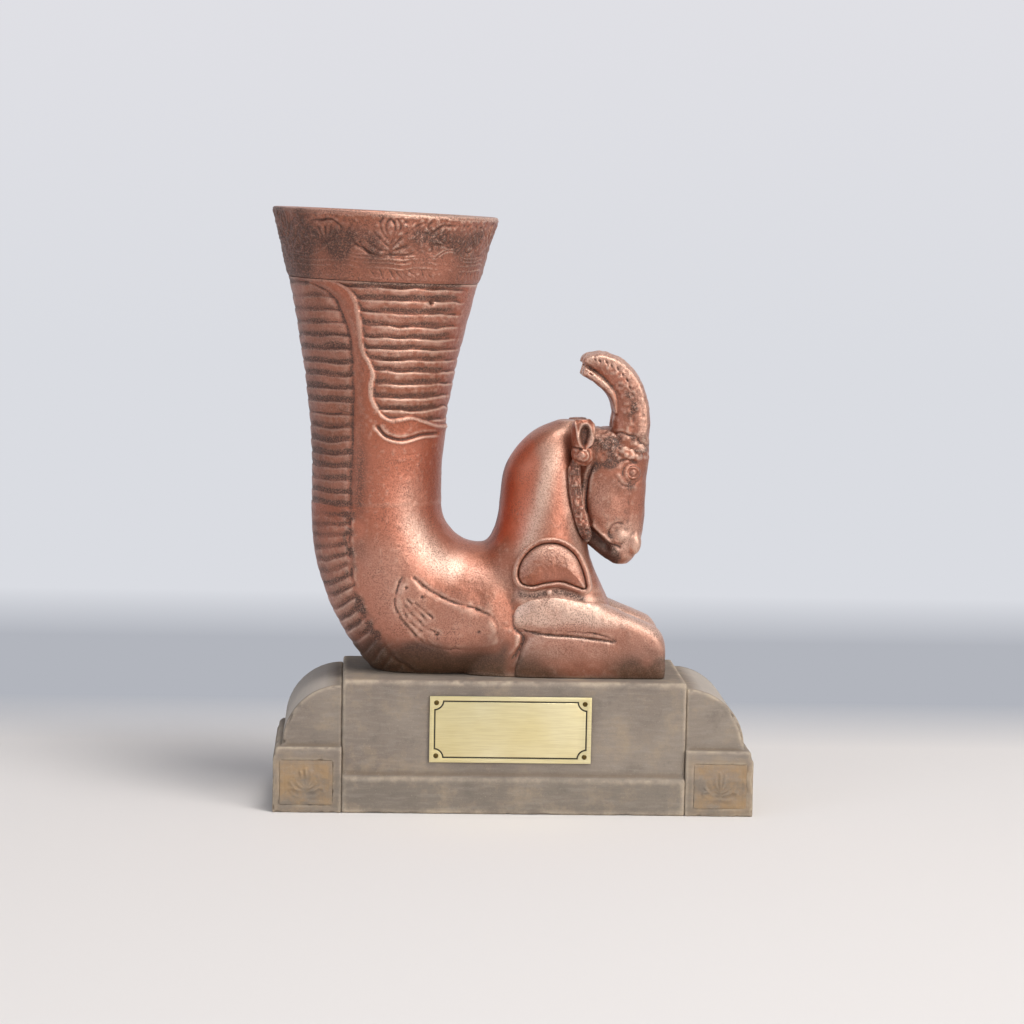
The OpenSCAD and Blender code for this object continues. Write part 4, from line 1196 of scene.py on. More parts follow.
def casting_halves():
    """The casting cut at the joint face, with the cavity, sockets and fixing holes in it."""
    mesh = casting_mesh()
    lean = Vector((JOINT_HIGH[1] - JOINT_LOW[1], 0, JOINT_LOW[0] - JOINT_HIGH[0])).normalized()
    joint = (JOINT_LOW[0], 0, JOINT_LOW[1])
    elbow = keep_half(mesh, joint, lean)
    elbow = keep_half(elbow, (0, 0, SEAM_Z), (0, 0, 1))
    elbow = hollowed(elbow, [
        loft("cavity", CAVITY_ROWS, 96, 6, FLOOR_Z),
        rod(2 * SPIGOT_R, (WAIST_X, 0, SEAM_Z - SPIGOT_L), (WAIST_X, 0, SEAM_Z + 2), 96),
        rod(INSERT_D, (SCREW_X[0], 0, PLINTH_H - 1), (SCREW_X[0], 0, PLINTH_H + INSERT_L)),
    ])
    forepart = keep_half(mesh, joint, -lean)
    forepart = hollowed(forepart, [
        rod(INSERT_D, (SCREW_X[1], 0, PLINTH_H - 1), (SCREW_X[1], 0, PLINTH_H + INSERT_L)),
    ])
    return elbow, forepart


# Goat

LEG_Y, HORN_Y, PLATE_TILT = 12.8, 4.7, 10

HEAD_ROWS = [
    [34.5, 73, 30.5, 73, 2.4, 2, 0],
    [36.6, 75, 27.6, 75, 4.7, 2.2, 0],
    [38.2, 78, 23.5, 78, 5.7, 2.3, 0],
    [39.1, 82, 20, 82, 6.7, 2.3, 0],
    [39.7, 88, 16, 88, 8.1, 2.3, 0],
    [39.9, 94, 15, 94, 9.3, 2.3, 0],
    [40.2, 100, 15, 100, 9.8, 2.3, 0],
    [40.6, 105, 15, 105, 9.6, 2.3, 0],
    [40.7, 109, 16, 109, 8.9, 2.3, 0],
    [40, 112.6, 18, 112.6, 7.4, 2.2, 0],
    [36.5, 114.6, 21, 114.6, 4.6, 2, 0],
]
FORELEG_ROWS = [
    [45.7, 50, 45.7, 45, 3, 2.1, -LEG_Y],
    [45, 52.4, 45, 43.8, 5, 2.2, -LEG_Y],
    [43, 55.1, 43, 43.5, 6.2, 2.5, -LEG_Y],
    [39, 57.1, 39, 45, 6.5, 2.7, -LEG_Y],
    [32, 59.9, 32, 47.5, 6.6, 2.7, -LEG_Y],
    [24, 63.4, 24, 49, 6.7, 2.6, -LEG_Y],
    [14, 66.4, 14, 50, 6.7, 2.4, -LEG_Y],
    [6, 66.6, 6, 50.4, 6.5, 2.3, -LEG_Y],
    [2, 65.2, 2, 51.6, 5.9, 2.1, -LEG_Y],
    [-0.3, 62.6, -0.3, 53.6, 4.9, 2, -LEG_Y],
    [-1.3, 60, -1.3, 55.8, 2.8, 2, -LEG_Y],
]
SHANK_ROWS = [
    [45.5, 49.5, 45.5, 38.5, 4.8, 2.2, -LEG_Y],
    [44.2, 51.5, 44.2, 37.5, 6, 2.6, -LEG_Y],
    [39, 53, 39, 37.5, 6.5, 3, -LEG_Y],
    [29, 54, 29, 37.5, 6.6, 3.6, -LEG_Y],
    [18, 54.6, 18, 37.5, 6.6, 3.8, -LEG_Y],
    [8, 54.6, 7, 37.5, 6.5, 3.6, -LEG_Y],
    [4.4, 53.6, 2, 37.5, 6.1, 3, -LEG_Y],
    [3.2, 52, -0.6, 38.5, 5.2, 2.4, -LEG_Y],
    [2.8, 50.5, -1.2, 41, 3, 2, -LEG_Y],
]
LEG_CUTS = [
    ([(0.6, 54.6), (3.4, 53.8), (10.8, 53.1), (18.1, 52.6), (25.4, 51.8), (30.9, 51.1)], 0.42, 0.6),
    ([(16, 54.3), (21.4, 54), (24.7, 53.5), (28.3, 52.5), (30.9, 51.3)], 0.3, 0.35),
]


def rub_and_highlight(mesh, share, seed, extra=None):
    """Stores pale rubbing, a painted highlight, on what faces up, and any extra share given point by
    point.
    """
    points, normals = points_of(mesh), normals_of(mesh)
    rubbed_and_highlight = share * ease((normals[:, 2] + 0.05) / 0.7)
    if extra is not None:
        rubbed_and_highlight = np.maximum(rubbed_and_highlight, extra)
    store(mesh, "rubbed_and_highlight", rubbed_and_highlight * np.clip(0.9 + 0.3 * lumps(points, 4, seed), 0, 1.2))
    return mesh


def leg_mesh(side):
    mesh = fused("leg", [
        loft("upper", FORELEG_ROWS, 72, 6), loft("shank", SHANK_ROWS, 72, 6, PLINTH_H),
    ], 0.36)
    smooth(mesh, 6, 0.4)
    points = points_of(mesh)
    valley = bell(points[:, 2] - 51.5, 3) * ease((44 - points[:, 0]) / 8)
    set_points(mesh, relaxed(edges_of(mesh), points, 30, 0.5 * valley[:, None]))

    def out_of(points, normals):
        x, y, z = points.T
        outer = (y < -LEG_Y).astype(float)
        out = 0.2 * lumps(points, 6, 31) + 0.06 * lumps(points, 1.5, 32) + 0.03 * lumps(points, 0.8, 33)
        ragged = 0.85 + 0.5 * lumps(points, 2, 34)
        out -= cuts(x, z + 0.15 * lumps(points, 3, 35), LEG_CUTS, 0.1) * outer * ragged
        return out * ease((z - PLINTH_H) / 1.5)

    points = on_plinth(carve(mesh, out_of))
    x, y, z = points.T
    # A painted highlight over the top of the leg, as pale worn paint
    face = 0.8 * ease((z - 54.5) / 3) * (1 - 0.5 * ease((x - 33) / 4)) + 0.3 * ease((z - 43) / 5)
    rub_and_highlight(read_wear(mesh, 4, 28, 0.12), 0.9, 36, face)
    # Dirt and painted shade at the foot of the leg, by the plinth
    grime_and_shade = bell(np.hypot((x - 4) / 2, z - 42), 6.5) + bell(np.hypot((x - 41) / 2.2, z - 41), 7)
    store(mesh, "grime_and_shade", np.clip(grime_and_shade * (1.3 + 0.6 * lumps(points, 5, 37)), 0, 0.95))
    return on_side(mesh, side)


def ball(place, size, turn=0.0):
    """A lump with its three half sizes, turned round Y."""
    bm = bmesh.new()
    bmesh.ops.create_icosphere(bm, subdivisions=4, radius=MM)
    matrix = (
        Matrix.Translation(Vector(place) * MM)
        @ Matrix.Rotation(math.radians(turn), 4, "Y")
        @ Matrix.Diagonal((*size, 1))
    )
    bmesh.ops.transform(bm, matrix=matrix, verts=bm.verts)
    return meshed(bm, "lump")


EYE_AT, EYE_R, EYE_SQUASH, NOSTRIL = (35.3, -8.4, 101.5), 2.7, 0.94, (31.9, 82.8)
# The jaw's edge, the hollow under it, and the lines of painted shade in the throat and round the temple
JAW = [(21.4, 88.4), (22.6, 86.9), (25.4, 84), (28.6, 80.6)]
UNDER_JAW = [(20.4, 84.5), (22.6, 82.6), (25.2, 80.4), (27.6, 78.4)]
THROAT = [(19, 83), (21.8, 82), (24.6, 79.6), (27.2, 77.4), (29.4, 75.2)]
TEMPLE_ARC = [(20.3, 97), (21.4, 100.5), (23.5, 102.7), (27.2, 104.1), (31.6, 105)]
# Lines, widths and depths of the head's cuts: mouth, back of the cheek, foot of the horn,
# lines under and over the eye, and the fold in front of the cheek
HEAD_CUTS = [
    ([(32.6, 78.2), (31, 78.8), (29.2, 79.2), (27.4, 79.8)], 0.45, 0.9),
    ([(23.6, 105), (21.9, 101), (21.1, 96), (21.2, 91), (22.3, 87.6), (24, 85.4)], 0.55, 0.75),
    ([(30.6, 99.6), (32, 98), (34.4, 97.4), (36.8, 98.2)], 0.32, 0.28),
    ([(29.4, 102.8), (31, 104.8), (33.4, 105.6), (36, 105)], 0.34, 0.3),
    ([(33.6, 95), (34.6, 91), (34.4, 87.5), (33.6, 85)], 0.7, 0.22),
]


def head_mesh():
    parts = [loft("skull", HEAD_ROWS, 96, 6)]
    for s in (FRONT, BACK):
        parts += [
            ball((27.3, s * 6.2, 93), (6.9, 3.5, 10.2), -10),
            ball((NOSTRIL[0], s * 4.6, NOSTRIL[1]), (3.5, 2.7, 3.1), 25),
            ball((30.3, s * 3.6, 77), (2.3, 2.4, 1.8)),
            ball((33.6, s * 6.8, 107.4), (4.6, 3, 2.4), 16),
            ball((36.4, s * 3.6, 80), (2.4, 2.4, 3.8)),
        ]
    mesh = fused("head", parts, 0.34)
    smooth(mesh, 8, 0.5)

    def out_of(points, normals):
        x, y, z = points.T
        flank = ease((np.abs(y) - 2) / 2)
        out = bell(off_line(x, z, curve(JAW))[0], 0.8) * flank
        out -= 2.2 * bell(off_line(x, z, curve(UNDER_JAW))[0], 1.5) * flank
        socket = np.hypot(x - EYE_AT[0], z - EYE_AT[2])
        ragged = np.clip(0.6 + 1.2 * lumps(points, 3, 59), 0.1, 1.2)
        out -= 0.28 * bell(socket - 3.1, 0.6) * flank * ragged
        snout = np.hypot(x - NOSTRIL[0], z - NOSTRIL[1]) + 0.35 * lumps(points, 2.2, 77)
        out -= 0.38 * bell(snout - 3.3, 0.5) * flank * ease((33.6 - x) / 1.5)
        out += 0.3 * lumps(points, 1.6, 76) * ease(3.4 - snout) * flank
        wobble = 0.2 * lumps(points, 1.8, 41)
        out -= cuts(x + wobble, z + wobble, HEAD_CUTS, 0.15) * flank
        brow = ease((z - 104) / 2) * ease((x - 23) / 4)
        out += 0.27 * brow * (lumps(points, 1, 42) + 0.6 * lumps(points, 2.2, 49))
        out += 0.18 * lumps(points, 4, 43) + 0.07 * lumps(points, 1.4, 44) + 0.04 * lumps(points, 0.8, 45)
        return out

    read_wear(carve(mesh, out_of), 4, 26)
    points = points_of(mesh)
    x, y, z = points.T
    cloud = np.clip(0.6 + 0.8 * lumps(points, 2.6, 46), 0, 1.2)
    # Painted shade round the foot of the horn, under the eye, along the temple and over the cheek
    shade = 0.75 * bell(np.hypot(x - 26.5, z - 108), 5)
    shade += 0.8 * bell(np.hypot(x - 35.2, (z - 98) / 1.3), 1.8)
    shade += 0.9 * bell(off_line(x, z, curve(TEMPLE_ARC))[0], 1.5)
    shade += 0.7 * bell(z - 110.5, 2) + 0.45 * bell(np.hypot((x - 30.5) / 1.2, z - 98.5), 3)
    shade += 0.5 * bell(np.hypot(x - 31, z - 90), 4) * (lumps(points, 3, 47) > -0.1)
    throat, _ = off_line(x, z, curve(THROAT))
    wax_and_shade = np.maximum(1.3 * shade * cloud, 1.1 * ease((3.8 - throat) / 1.4))
    # Painted shade in the throat under the jaw
    store(mesh, "grime_and_shade", ease((3.4 - throat) / 1.6))
    store(mesh, "wax_and_shade", np.clip(wax_and_shade, 0, 0.97))
    # A painted highlight on the muzzle and the cheek, as pale worn paint
    muzzle = 0.8 * bell(np.hypot(x - 33.5, z - 81.5), 5.5)
    cheek = 0.3 * bell(np.hypot(x - 26, z - 94), 6)
    return rub_and_highlight(mesh, 0.35, 48, muzzle + cheek)


HORN_ROWS = [
    [40, 108, 29.3, 108, 4.2, 2.4, 0],
    [40.3, 114, 28.9, 115.5, 4.2, 2.4, 0],
    [40.3, 119, 29.4, 119.5, 4.1, 2.4, 0],
    [39.4, 124.5, 28.5, 122.8, 4, 2.4, 0],
    [37, 130.3, 26.7, 125.5, 3.8, 2.4, 0],
    [32.4, 135.2, 24, 127.8, 3.4, 2.3, 0],
    [26.5, 137.6, 21.6, 129.5, 3, 2.2, 0],
    [21.5, 137.2, 19.4, 130.7, 2.2, 2.1, 0],
    [19.7, 135.6, 18.9, 132.4, 1.1, 2, 0],
]
# Width of the horn's lower strand at each row, and how far the two strands overlap there
HORN_SPLIT = [0, 0, 0, 0.8, 2, 2.8, 3.2, 3.5, 1.9]
HORN_LAP = [1, 1, 1, 1.4, 0.9, 0.3, -0.3, -0.4, -0.3]
HORN_NICKS = [
    (21.6, 134.9), (23.2, 135.5), (24.6, 135.2), (26.7, 134.9), (28.2, 133.9), (30.1, 133),
    (31.6, 131.2), (33, 129.6), (33.8, 127.4), (34.8, 125.2),
]
HORN_PITS = [(20.5, 132), (22, 131.1)]
HORN_FOOT = [(28.7, 113.9), (31.6, 113.3), (36.1, 112.4), (37.2, 110.6), (39.8, 109.2)]


def horn_mesh(side):
    rows = np.array(HORN_ROWS, float)
    rows[:, 6] = -HORN_Y
    outer, inner = rows[:, 0:2], rows[:, 2:4]
    way = (outer - inner) / np.linalg.norm(outer - inner, axis=1)[:, None]
    split, lap = np.array(HORN_SPLIT)[:, None], np.array(HORN_LAP)[:, None]
    main, strand = rows.copy(), rows.copy()
    main[:, 2:4] = inner + way * split
    strand[:, 0:2] = inner + way * (split + lap)
    strand[:, 4] *= np.array([0.7, 0.7, 0.7, 0.75, 0.85, 0.88, 0.88, 0.88, 0.88])
    mesh = fused("horn", [loft("main", main, 64, 8), loft("strand", strand[2:8], 48, 8)], 0.27)
    smooth(mesh, 4, 0.4)
    spine, middle = curve(outer), curve((outer + inner) / 2)
    parting = curve(inner + way * (split + 0.2))

    def out_of(points, normals):
        x, y, z = points.T
        off_spine, run = off_line(x, z, spine)
        off_part, part_run = off_line(x, z, parting)
        flank = ease((np.abs(y + HORN_Y) - 1.4) / 1.6)
        out = 0.1 * bell(off_spine, 2) * lumps(points * (1, 0.4, 1), 1.1, 51) * ease((run - 0.1) / 0.1)
        out += 0.35 * bell(off_spine - 1.3, 0.9) * flank
        out -= 0.5 * bell(off_part, 0.3) * flank * ease((part_run - 0.45) / 0.15)
        for nx, nz in HORN_NICKS:
            slant = (x - nx) + 0.5 * (z - nz)
            out -= 0.6 * bell(slant, 0.32) * bell(z - nz - 0.5 * (x - nx), 0.7) * flank
        for px, pz in HORN_PITS:
            out -= 0.9 * bell(np.hypot(x - px, z - pz), 0.5) * flank
        rough = bell(off_line(x, z, middle)[0], 3) * ease((run - 0.05) / 0.15) * flank
        out += 0.22 * rough * lumps(points, 0.9, 52)
        foot = ease((115 - z) / 3)
        out += 0.35 * foot * lumps(points, 1.2, 53)
        out -= cut_line(x, z + 0.5 * lumps(points, 2, 73), HORN_FOOT, 0.5, 0.42, 0.1) * flank
        return out + 0.14 * lumps(points, 4, 54) + 0.1 * lumps(points, 1.2, 55)

    carve(mesh, out_of)
    read_wear(mesh, 4, 26)
    points = points_of(mesh)
    x, y, z = points.T
    cloud = np.clip(0.45 + 1.1 * lumps(points, 2.2, 56), 0, 1.2)
    # Wax and painted shade on the horn's inner curve, along its middle, and at its foot
    dark = 0.9 * bell(np.hypot(x - 34.6, (z - 122) / 1.7), 2.6) + 0.7 * ease((116 - z) / 4)
    dark += 0.45 * bell(off_line(x, z, middle)[0] + 0.5, 1.5)
    store(mesh, "wax_and_shade", np.clip(dark * cloud, 0, 0.9))
    # A painted highlight on what faces up and along the outer edge, as pale worn paint
    return on_side(rub_and_highlight(mesh, 0.7, 57, 0.55 * bell(off_line(x, z, spine)[0] - 2, 1.5)), side)


EAR_ROWS = [
    [21.6, 103.7, 17.8, 103.7, 1.2, 2, -10.8],
    [23, 105.2, 16.7, 105.2, 2.3, 2.1, -11],
    [23.4, 107.4, 16.3, 107.4, 2.8, 2.2, -11.1],
    [22.7, 109.6, 16.5, 109.6, 2.8, 2.2, -11.2],
    [23.3, 113, 16.2, 113, 3, 2.3, -11.2],
    [23.3, 116, 16.4, 116, 3, 2.3, -11],
    [21.8, 117.8, 17.3, 117.8, 1.8, 2.2, -10.7],
]
EAR_BOWL, EAR_CURL = (20.3, 113.4), (19.7, 106.9)
EAR_FOOT = [(16.8, 109.4), (18.6, 109), (21, 109.2), (22.8, 109.8)]
# Raised folds round the ear's bowl
EAR_FOLDS = [
    [(17, 117.6), (17.7, 114.5), (18.3, 111.6), (19.8, 108.9)],
    [(22.9, 116.8), (22.8, 113.4), (22.2, 110.9), (20.6, 108.8)],
]


def in_ear_bowl(x, z):
    """Distance from the bowl's middle, 1 near its edge."""
    return np.hypot((x - EAR_BOWL[0]) / 1.75, (z - EAR_BOWL[1]) / 3.5)


def ear_mesh(side):
    mesh = fused("ear", [loft("ear", EAR_ROWS, 64, 8), ball((19.9, -12, 106.8), (3.1, 2.6, 2.5))], 0.22)
    smooth(mesh, 4, 0.4)

    def out_of(points, normals):
        x, _, z = points.T
        facing = ease(-normals[:, 1] / 0.4)
        bowl = in_ear_bowl(x, z) + 0.05 * (z - EAR_BOWL[1])
        curl = np.hypot((x - EAR_CURL[0]) / 1.15, z - EAR_CURL[1]) + 0.3 * lumps(points, 1.5, 75)
        out = -2.1 * ease((1.12 - bowl) / 0.4) * facing
        for fold in EAR_FOLDS:
            out += 0.4 * bell(off_line(x, z, curve(fold))[0], 0.42) * facing
        out -= 0.32 * bell(curl - 2.1, 0.4) * facing * ease((x - 17) / 1.5)
        out -= 0.25 * bell(curl - 0.9, 0.35) * facing * ease((x - 19) / 1.5)
        out -= 0.4 * bell(off_line(x, z, curve(EAR_FOOT))[0], 0.35)
        return out + 0.14 * lumps(points, 2.5, 61) + 0.08 * lumps(points, 1, 62)

    carve(mesh, out_of)
    points = points_of(mesh)
    bowl = in_ear_bowl(points[:, 0], points[:, 2])
    # Painted shade in the ear's bowl
    wax_and_shade = 0.95 * ease((1.05 - bowl) / 0.3) + 0.3 * lumps(points, 2, 67)
    store(mesh, "wax_and_shade", np.clip(wax_and_shade, 0, 0.95))
    if side == BACK:
        # The far ear sits a little lower
        set_points(mesh, points - (0, 0, 1))
    return on_side(read_wear(mesh, 5, 26), side)


# Ends of the ruff as x, z and y, and how far its middle sags from the line between them
RUFF_LOW, RUFF_TOP = np.array([22.1, 80.9, -9]), np.array([17.3, 106, -10])
RUFF_SAG = np.array([1.5, 0, 1.6])


def ruff_mesh(side):
    """A strip of stippled tufts between two raised borders, over the joint of head and neck."""
    rows = []
    for t in np.linspace(0, 1, 9):
        p = mix(RUFF_LOW, RUFF_TOP, t) - RUFF_SAG * math.sin(math.pi * t)
        wide = 1.75 * min(1, 0.5 + 4 * t, 0.4 + 5 * (1 - t))
        rows.append([p[0] + wide, p[1] + 0.4, p[0] - wide, p[1] - 0.4, 1.5, 2.2, p[2]])
    mesh = fused("ruff", [loft("strip", rows, 40, 10)], 0.2)
    spine = curve([((row[0] + row[2]) / 2, (row[1] + row[3]) / 2) for row in rows])

    def out_of(points, normals):
        off, _ = off_line(points[:, 0], points[:, 2], spine)
        facing = ease(-normals[:, 1] / 0.5)
        tufts = 0.5 * np.clip(lumps(points, 0.85, 63) + 0.35 * lumps(points, 2.5, 68), -0.7, 0.7)
        return (tufts * ease((1.5 - off) / 0.4) + 0.3 * bell(off - 1.55, 0.3)) * facing

    mesh = read_wear(carve(mesh, out_of), 4, 20, 0.12)
    points = points_of(mesh)
    # Wax in the tufts, and painted shade towards the lower end, by the throat
    wax_and_shade = 0.45 + 0.5 * lumps(points, 3, 69) + 0.6 * ease((87 - points[:, 2]) / 3)
    store(mesh, "wax_and_shade", np.clip(wax_and_shade, 0, 0.9))
    return on_side(mesh, side)


# Distance from the middle of the eye, and height over its seat
EYE_PROFILE = [
    (0, 0.9), (0.5, 0.84), (0.85, 0.66), (1.1, 0.48), (1.3, 0.46), (1.55, 0.58), (1.8, 0.62),
    (2, 0.48), (2.2, 0.24), (2.3, 0.05), (2.3, -0.8), (0, -0.9),
]


def eye_mesh(side):
    def place(u, v):
        section = through(EYE_PROFILE, v * (len(EYE_PROFILE) - 1))
        angle = 2 * np.pi * u
        radius = np.clip(section[:, 0], 0, EYE_R) * (v < LAST_RING)
        x = EYE_AT[0] + radius * np.cos(angle)
        z = EYE_AT[2] + radius * np.sin(angle) * EYE_SQUASH
        points = np.stack([x, EYE_AT[1] - section[:, 1], z], 1)
        return points + np.outer(0.13 * lumps(points, 1.2, 64), (0, 1, 0))

    mesh = read_wear(wrapped("eye", 96, 66, place), 3, 16, 0.08)
    points = points_of(mesh)
    off = np.hypot(points[:, 0] - EYE_AT[0], (points[:, 2] - EYE_AT[2]) / EYE_SQUASH)
    ring = 0.45 * bell(off - 1.2, 0.3) + 0.6 * ease((off - 1.95) / 0.25)
    store(mesh, "wax_and_shade", np.clip(ring * (0.8 + lumps(points, 1.6, 74)), 0, 0.9))
    # A painted highlight on what faces up, and the eye's middle worn pale
    return rub_and_highlight(on_side(mesh, side), 0.3, 58, 0.35 * bell(off, 0.9))


PLATE_FOOT_Z, PLATE_Y, PLATE_IN = 66, -17.9, 4.6
PLATE_MIDDLE = (11, 73)
PLATE_OUTLINE = [
    (-0.7, 69.2), (-1, 72.3), (0.2, 76), (3, 79.6), (6.6, 81.8), (10.3, 82.5), (13.9, 82), (17.2, 80.2),
    (19.8, 77.4), (21.7, 73.4), (22.7, 69.9), (23, 67.5), (22.2, 65.8), (20.1, 65.3), (16.5, 66.5),
    (13.2, 67.4), (9.1, 66.9), (4.9, 66), (1.2, 66.8),
]


def shoulder_plate_mesh(side):
    """A half moon with a round raised frame and a domed pillow inside it."""
    count = len(PLATE_OUTLINE)
    looped = [PLATE_OUTLINE[-1], *PLATE_OUTLINE, *PLATE_OUTLINE[:2]]
    outline = through(looped, np.linspace(1, count + 1, 12 * count + 1))
    steps = np.r_[0, np.cumsum(np.linalg.norm(np.diff(outline, axis=0), axis=1))]
    tilt = math.radians(90 - PLATE_TILT)
    middle = np.array(PLATE_MIDDLE)

    def place(u, v):
        rim = np.stack([np.interp(u * steps[-1], steps, outline[:, k]) for k in (0, 1)], 1)
        share = np.clip(v / 0.86, 0, 1)[:, None]
        flat = middle + (rim - middle) * share
        edge, _ = off_line(flat[:, 0], flat[:, 1], outline)
        edge = edge * (share[:, 0] < LAST_RING)
        frame_top = 1.15 * np.sqrt(np.clip(1 - ((edge - 0.85) / 0.88) ** 2, 0, 1))
        swell = np.clip((edge - 1.85) / 5.2, 0, 1)
        pillow = 2.3 * np.sqrt(np.clip(1 - (1 - swell) ** 2, 0, 1)) * (edge > 1.85)
        pillow *= 1 - 0.16 * bell(flat[:, 0] - 12, 2.6) * ease((75 - flat[:, 1]) / 5)
        height = np.maximum(frame_top, pillow) - 0.06 * bell(edge - 1.85, 0.35)
        down = np.clip((v - 0.86) / 0.14, 0, 1)
        height = np.where(down > 0, -PLATE_IN * down, height)
        dz = flat[:, 1] - PLATE_FOOT_Z
        points = np.stack([
            flat[:, 0],
            PLATE_Y + dz * math.cos(tilt) - height * math.sin(tilt),
            PLATE_FOOT_Z + dz * math.sin(tilt) + height * math.cos(tilt),
        ], 1)
        grain = 0.14 * lumps(points, 3, 65) + 0.06 * lumps(points, 1.1, 66) + 0.03 * lumps(points, 0.7, 38)
        return points + np.outer(grain * (down == 0), (0, -1, 0))

    mesh = read_wear(wrapped("plate", 260, 100, place), 4, 24)
    points = points_of(mesh)
    # Wax in patches, and painted shade towards the plate's foot
    cloud = np.clip(0.35 * lumps(points, 3, 39) + 0.25 * ease((73 - points[:, 2]) / 5), 0, 0.5)
    store(mesh, "wax_and_shade", cloud)
    # A painted highlight on what faces up, as pale worn paint
    return on_side(rub_and_highlight(mesh, 0.75, 40), side)


BEAD_AT, BEAD_D, PIN_D, PIN_L = (10.1, -20, 66.2), 1.8, 0.8, 3


def beads_mesh():
    """Both pins under the shoulder plates, each with its bead."""
    parts = []
    for s in (1, -1):
        x, y, z = BEAD_AT[0], BEAD_AT[1] * s, BEAD_AT[2]
        parts += [ball((x, y, z), (BEAD_D / 2,) * 3), rod(PIN_D, (x, y + PIN_L * s, z), (x, y, z))]
    mesh = read_wear(smooth(fused("beads", parts, 0.1), 2, 0.4), 4, 20)
    # The whole bead painted pale, a painted highlight
    return rub_and_highlight(mesh, 1, 70, 1.2)


# Plinth

PLINTH_D, BLOCK_W = 56, 103


def node_copy(node):
    """A merged copy of a CAD node's mesh."""
    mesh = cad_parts[node].data.copy()
    mesh.materials.clear()
    bm = bmesh.new()
    bm.from_mesh(mesh)
    bmesh.ops.remove_doubles(bm, verts=bm.verts, dist=MERGE)
    bm.to_mesh(mesh)
    bm.free()
    return mesh


def cast_mesh(node, cell, chip, seed, joint=0.0):
    """A CAD node as it comes out of a mould: eased edges with chips, and slightly uneven faces.

    joint is the place on X, either side, of a face that meets another piece and stays plain.
    """
    mesh = fused(node, [node_copy(node)], cell)
    smooth(mesh, 2, 0.5)
    read_wear(mesh, 3, 8, 0.12)
    crest = stored(mesh, "crest")

    def out_of(points, normals):
        chipped = np.clip(lumps(points, 1.6, seed) + 0.6 * lumps(points, 5, seed + 1) - 0.3, 0, 1)
        uneven = 0.1 * np.abs(lumps(points, 11, seed + 2)) + 0.04 * np.abs(lumps(points, 1.5, seed + 3))
        free = ease(np.abs(np.abs(points[:, 0]) - joint) / 1.2 - 0.3)
        return (-chip * chipped * crest - uneven) * free

    return read_wear(carve(mesh, out_of), 3, 16, 0.14)


TILE_X, TILE_Z, TILE_W, TILE_H, TILE_FRAME, TILE_FACE = 62, 2.6, 15.4, 13, 1.1, PLINTH_D / 2
# Half of a small palmette on a pair of scrolls, from the middle of a tile
EMBLEM = [
    [(0, -3.6), (0, 0), (0, 4)],
    [(0.2, -1.6), (1.3, 0.6), (1.6, 3.2)],
    [(0.3, -2), (2.4, -0.4), (3.4, 1.8)],
    [(0.4, -2.6), (3, -2), (4.8, 0.2)],
    [(0, -3.8), (2.4, -4.2), (4.6, -3.2), (5, -1.9), (4, -1.6)],
]


def tile_mesh(node, side, face):
    """A corner tile, nearly filled with paint and mortar, with a faint worn emblem."""
    mesh = fused(node, [node_copy(node)], 0.16)
    points = points_of(mesh)
    middle = np.array([side * TILE_X, 0, TILE_Z + TILE_H / 2])
    u, w = np.abs(points[:, 0] - middle[0]), np.abs(points[:, 2] - middle[2])
    sunk = (u < TILE_W / 2 - TILE_FRAME + 0.2) & (w < TILE_H / 2 - TILE_FRAME + 0.2)
    sunk &= np.abs(points[:, 1]) > TILE_FACE - 0.7
    points[sunk, 1] = mix(points[sunk, 1], face * TILE_FACE, 0.92)
    # A little overlap with the wing hides the pocket's edges, as paint and mortar do
    points = middle + (points - middle) * (1.03, 1, 1.03) + (0, 0.08 * face, 0)
    set_points(mesh, points)
    smooth(mesh, 3, 0.5)

    def out_of(points, normals):
        facing = ease((normals[:, 1] * face - 0.5) / 0.3)
        u, w = points[:, 0] - middle[0], points[:, 2] - middle[2]
        worn = np.clip(0.5 + 0.9 * lumps(points, 2.5, 71), 0, 1.2)
        out = np.zeros(len(points))
        for line in EMBLEM:
            d, _ = off_line(np.abs(u), w, curve(line, 6))
            out = np.maximum(out, 0.42 * bell(d, 0.5))
        out = (out * worn + 0.12 * lumps(points, 2, 74)) * facing
        chips = 0.14 * np.clip(lumps(points, 3, 73) - 0.2, 0, 1)
        return out - 0.05 * np.abs(lumps(points, 1.4, 72)) - chips

    return read_wear(carve(mesh, out_of), 3, 16, 0.15)


def nameplate_mesh():
    """The brass sheet with its cut edges broken."""
    return with_modifiers(node_copy("nameplate"), ("BEVEL", {
        "width": 0.09 * MM, "segments": 2, "limit_method": "ANGLE", "angle_limit": math.radians(50),
        "profile": 0.5,
    }))


# Pieces

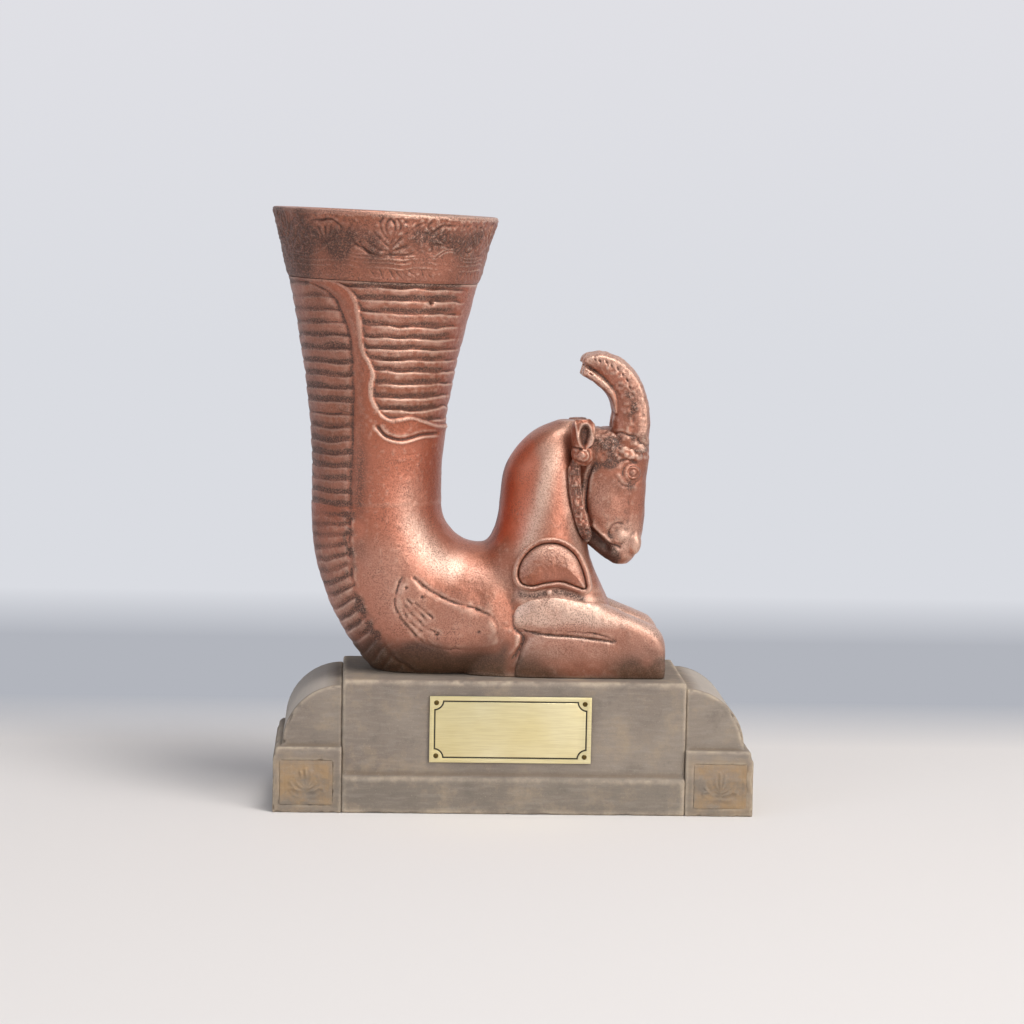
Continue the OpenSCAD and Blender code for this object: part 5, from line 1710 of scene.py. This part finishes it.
finish_piece("beaker_wall", beaker_mesh(), COPPER, ["beaker"])
finish_piece(
    "engraved_rim_band", rim_band_mesh(), COPPER_ENGRAVED, ["rim_band"],
)
elbow_half, forepart_half = casting_halves()
finish_piece("elbow_casting", elbow_half, COPPER, ["elbow"])
finish_piece("forepart_casting", forepart_half, COPPER, ["forepart"])
finish_piece("goat_head", head_mesh(), COPPER, ["head"])
for side, word in ((FRONT, "right"), (BACK, "left")):
    for build, name, node, material, slot in (
        (leg_mesh, "folded_foreleg", "foreleg", COPPER, "copper_clay"),
        (horn_mesh, "curved_horn", "horn", COPPER, "copper_clay"),
        (ear_mesh, "cupped_ear", "ear", COPPER, "copper_clay"),
        (eye_mesh, "ringed_eye", "eye", COPPER, "copper_clay_engraved"),
        (ruff_mesh, "curled_ruff", "ruff", COPPER_ENGRAVED, "copper_clay_engraved"),
        (shoulder_plate_mesh, "shoulder_shield", "shoulder_plate", COPPER, "copper_clay"),
    ):
        finish_piece(f"{name}_{word}", build(side), material, [f"{node}_{word}"])

finish_piece(
    "stone_block", cast_mesh("plinth_block", 0.55, 0.4, 81, BLOCK_W / 2), STONE,
    ["plinth_block"],
)
for side, word in ((-1, "left"), (1, "right")):
    finish_piece(
        f"stone_wing_{word}", cast_mesh(f"plinth_wing_{word}", 0.42, 1.1, 85, BLOCK_W / 2), STONE,
        [f"plinth_wing_{word}"],
    )
    for face, where in ((FRONT, "front"), (BACK, "back")):
        node = f"tile_{where}_{word}"
        finish_piece(
            f"emblem_{node}", tile_mesh(node, side, face), STAINED_STONE, [node],
        )
finish_piece("brass_nameplate", nameplate_mesh(), brass_sheet(), ["nameplate"], 30)
finish_piece("shoulder_beads", beads_mesh(), COPPER, ["shoulder_pins"])

for node, material, slot in (
    ("neck_dowel", STEEL, "steel"),
    ("horn_pegs", STEEL, "steel"),
    ("foot_inserts", BRASS, "brass_insert"),
    ("foot_screws", STEEL, "steel"),
    ("foot_washers", STEEL, "steel"),
    ("plinth_dowels", BEECH, "beech"),
    ("nameplate_pins", DARK_BRASS, "brass_sheet"),
    ("felt_pad", FELT, "felt"),
):
    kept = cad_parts[node]
    kept.data.materials.clear()
    kept.data.materials.append(material)
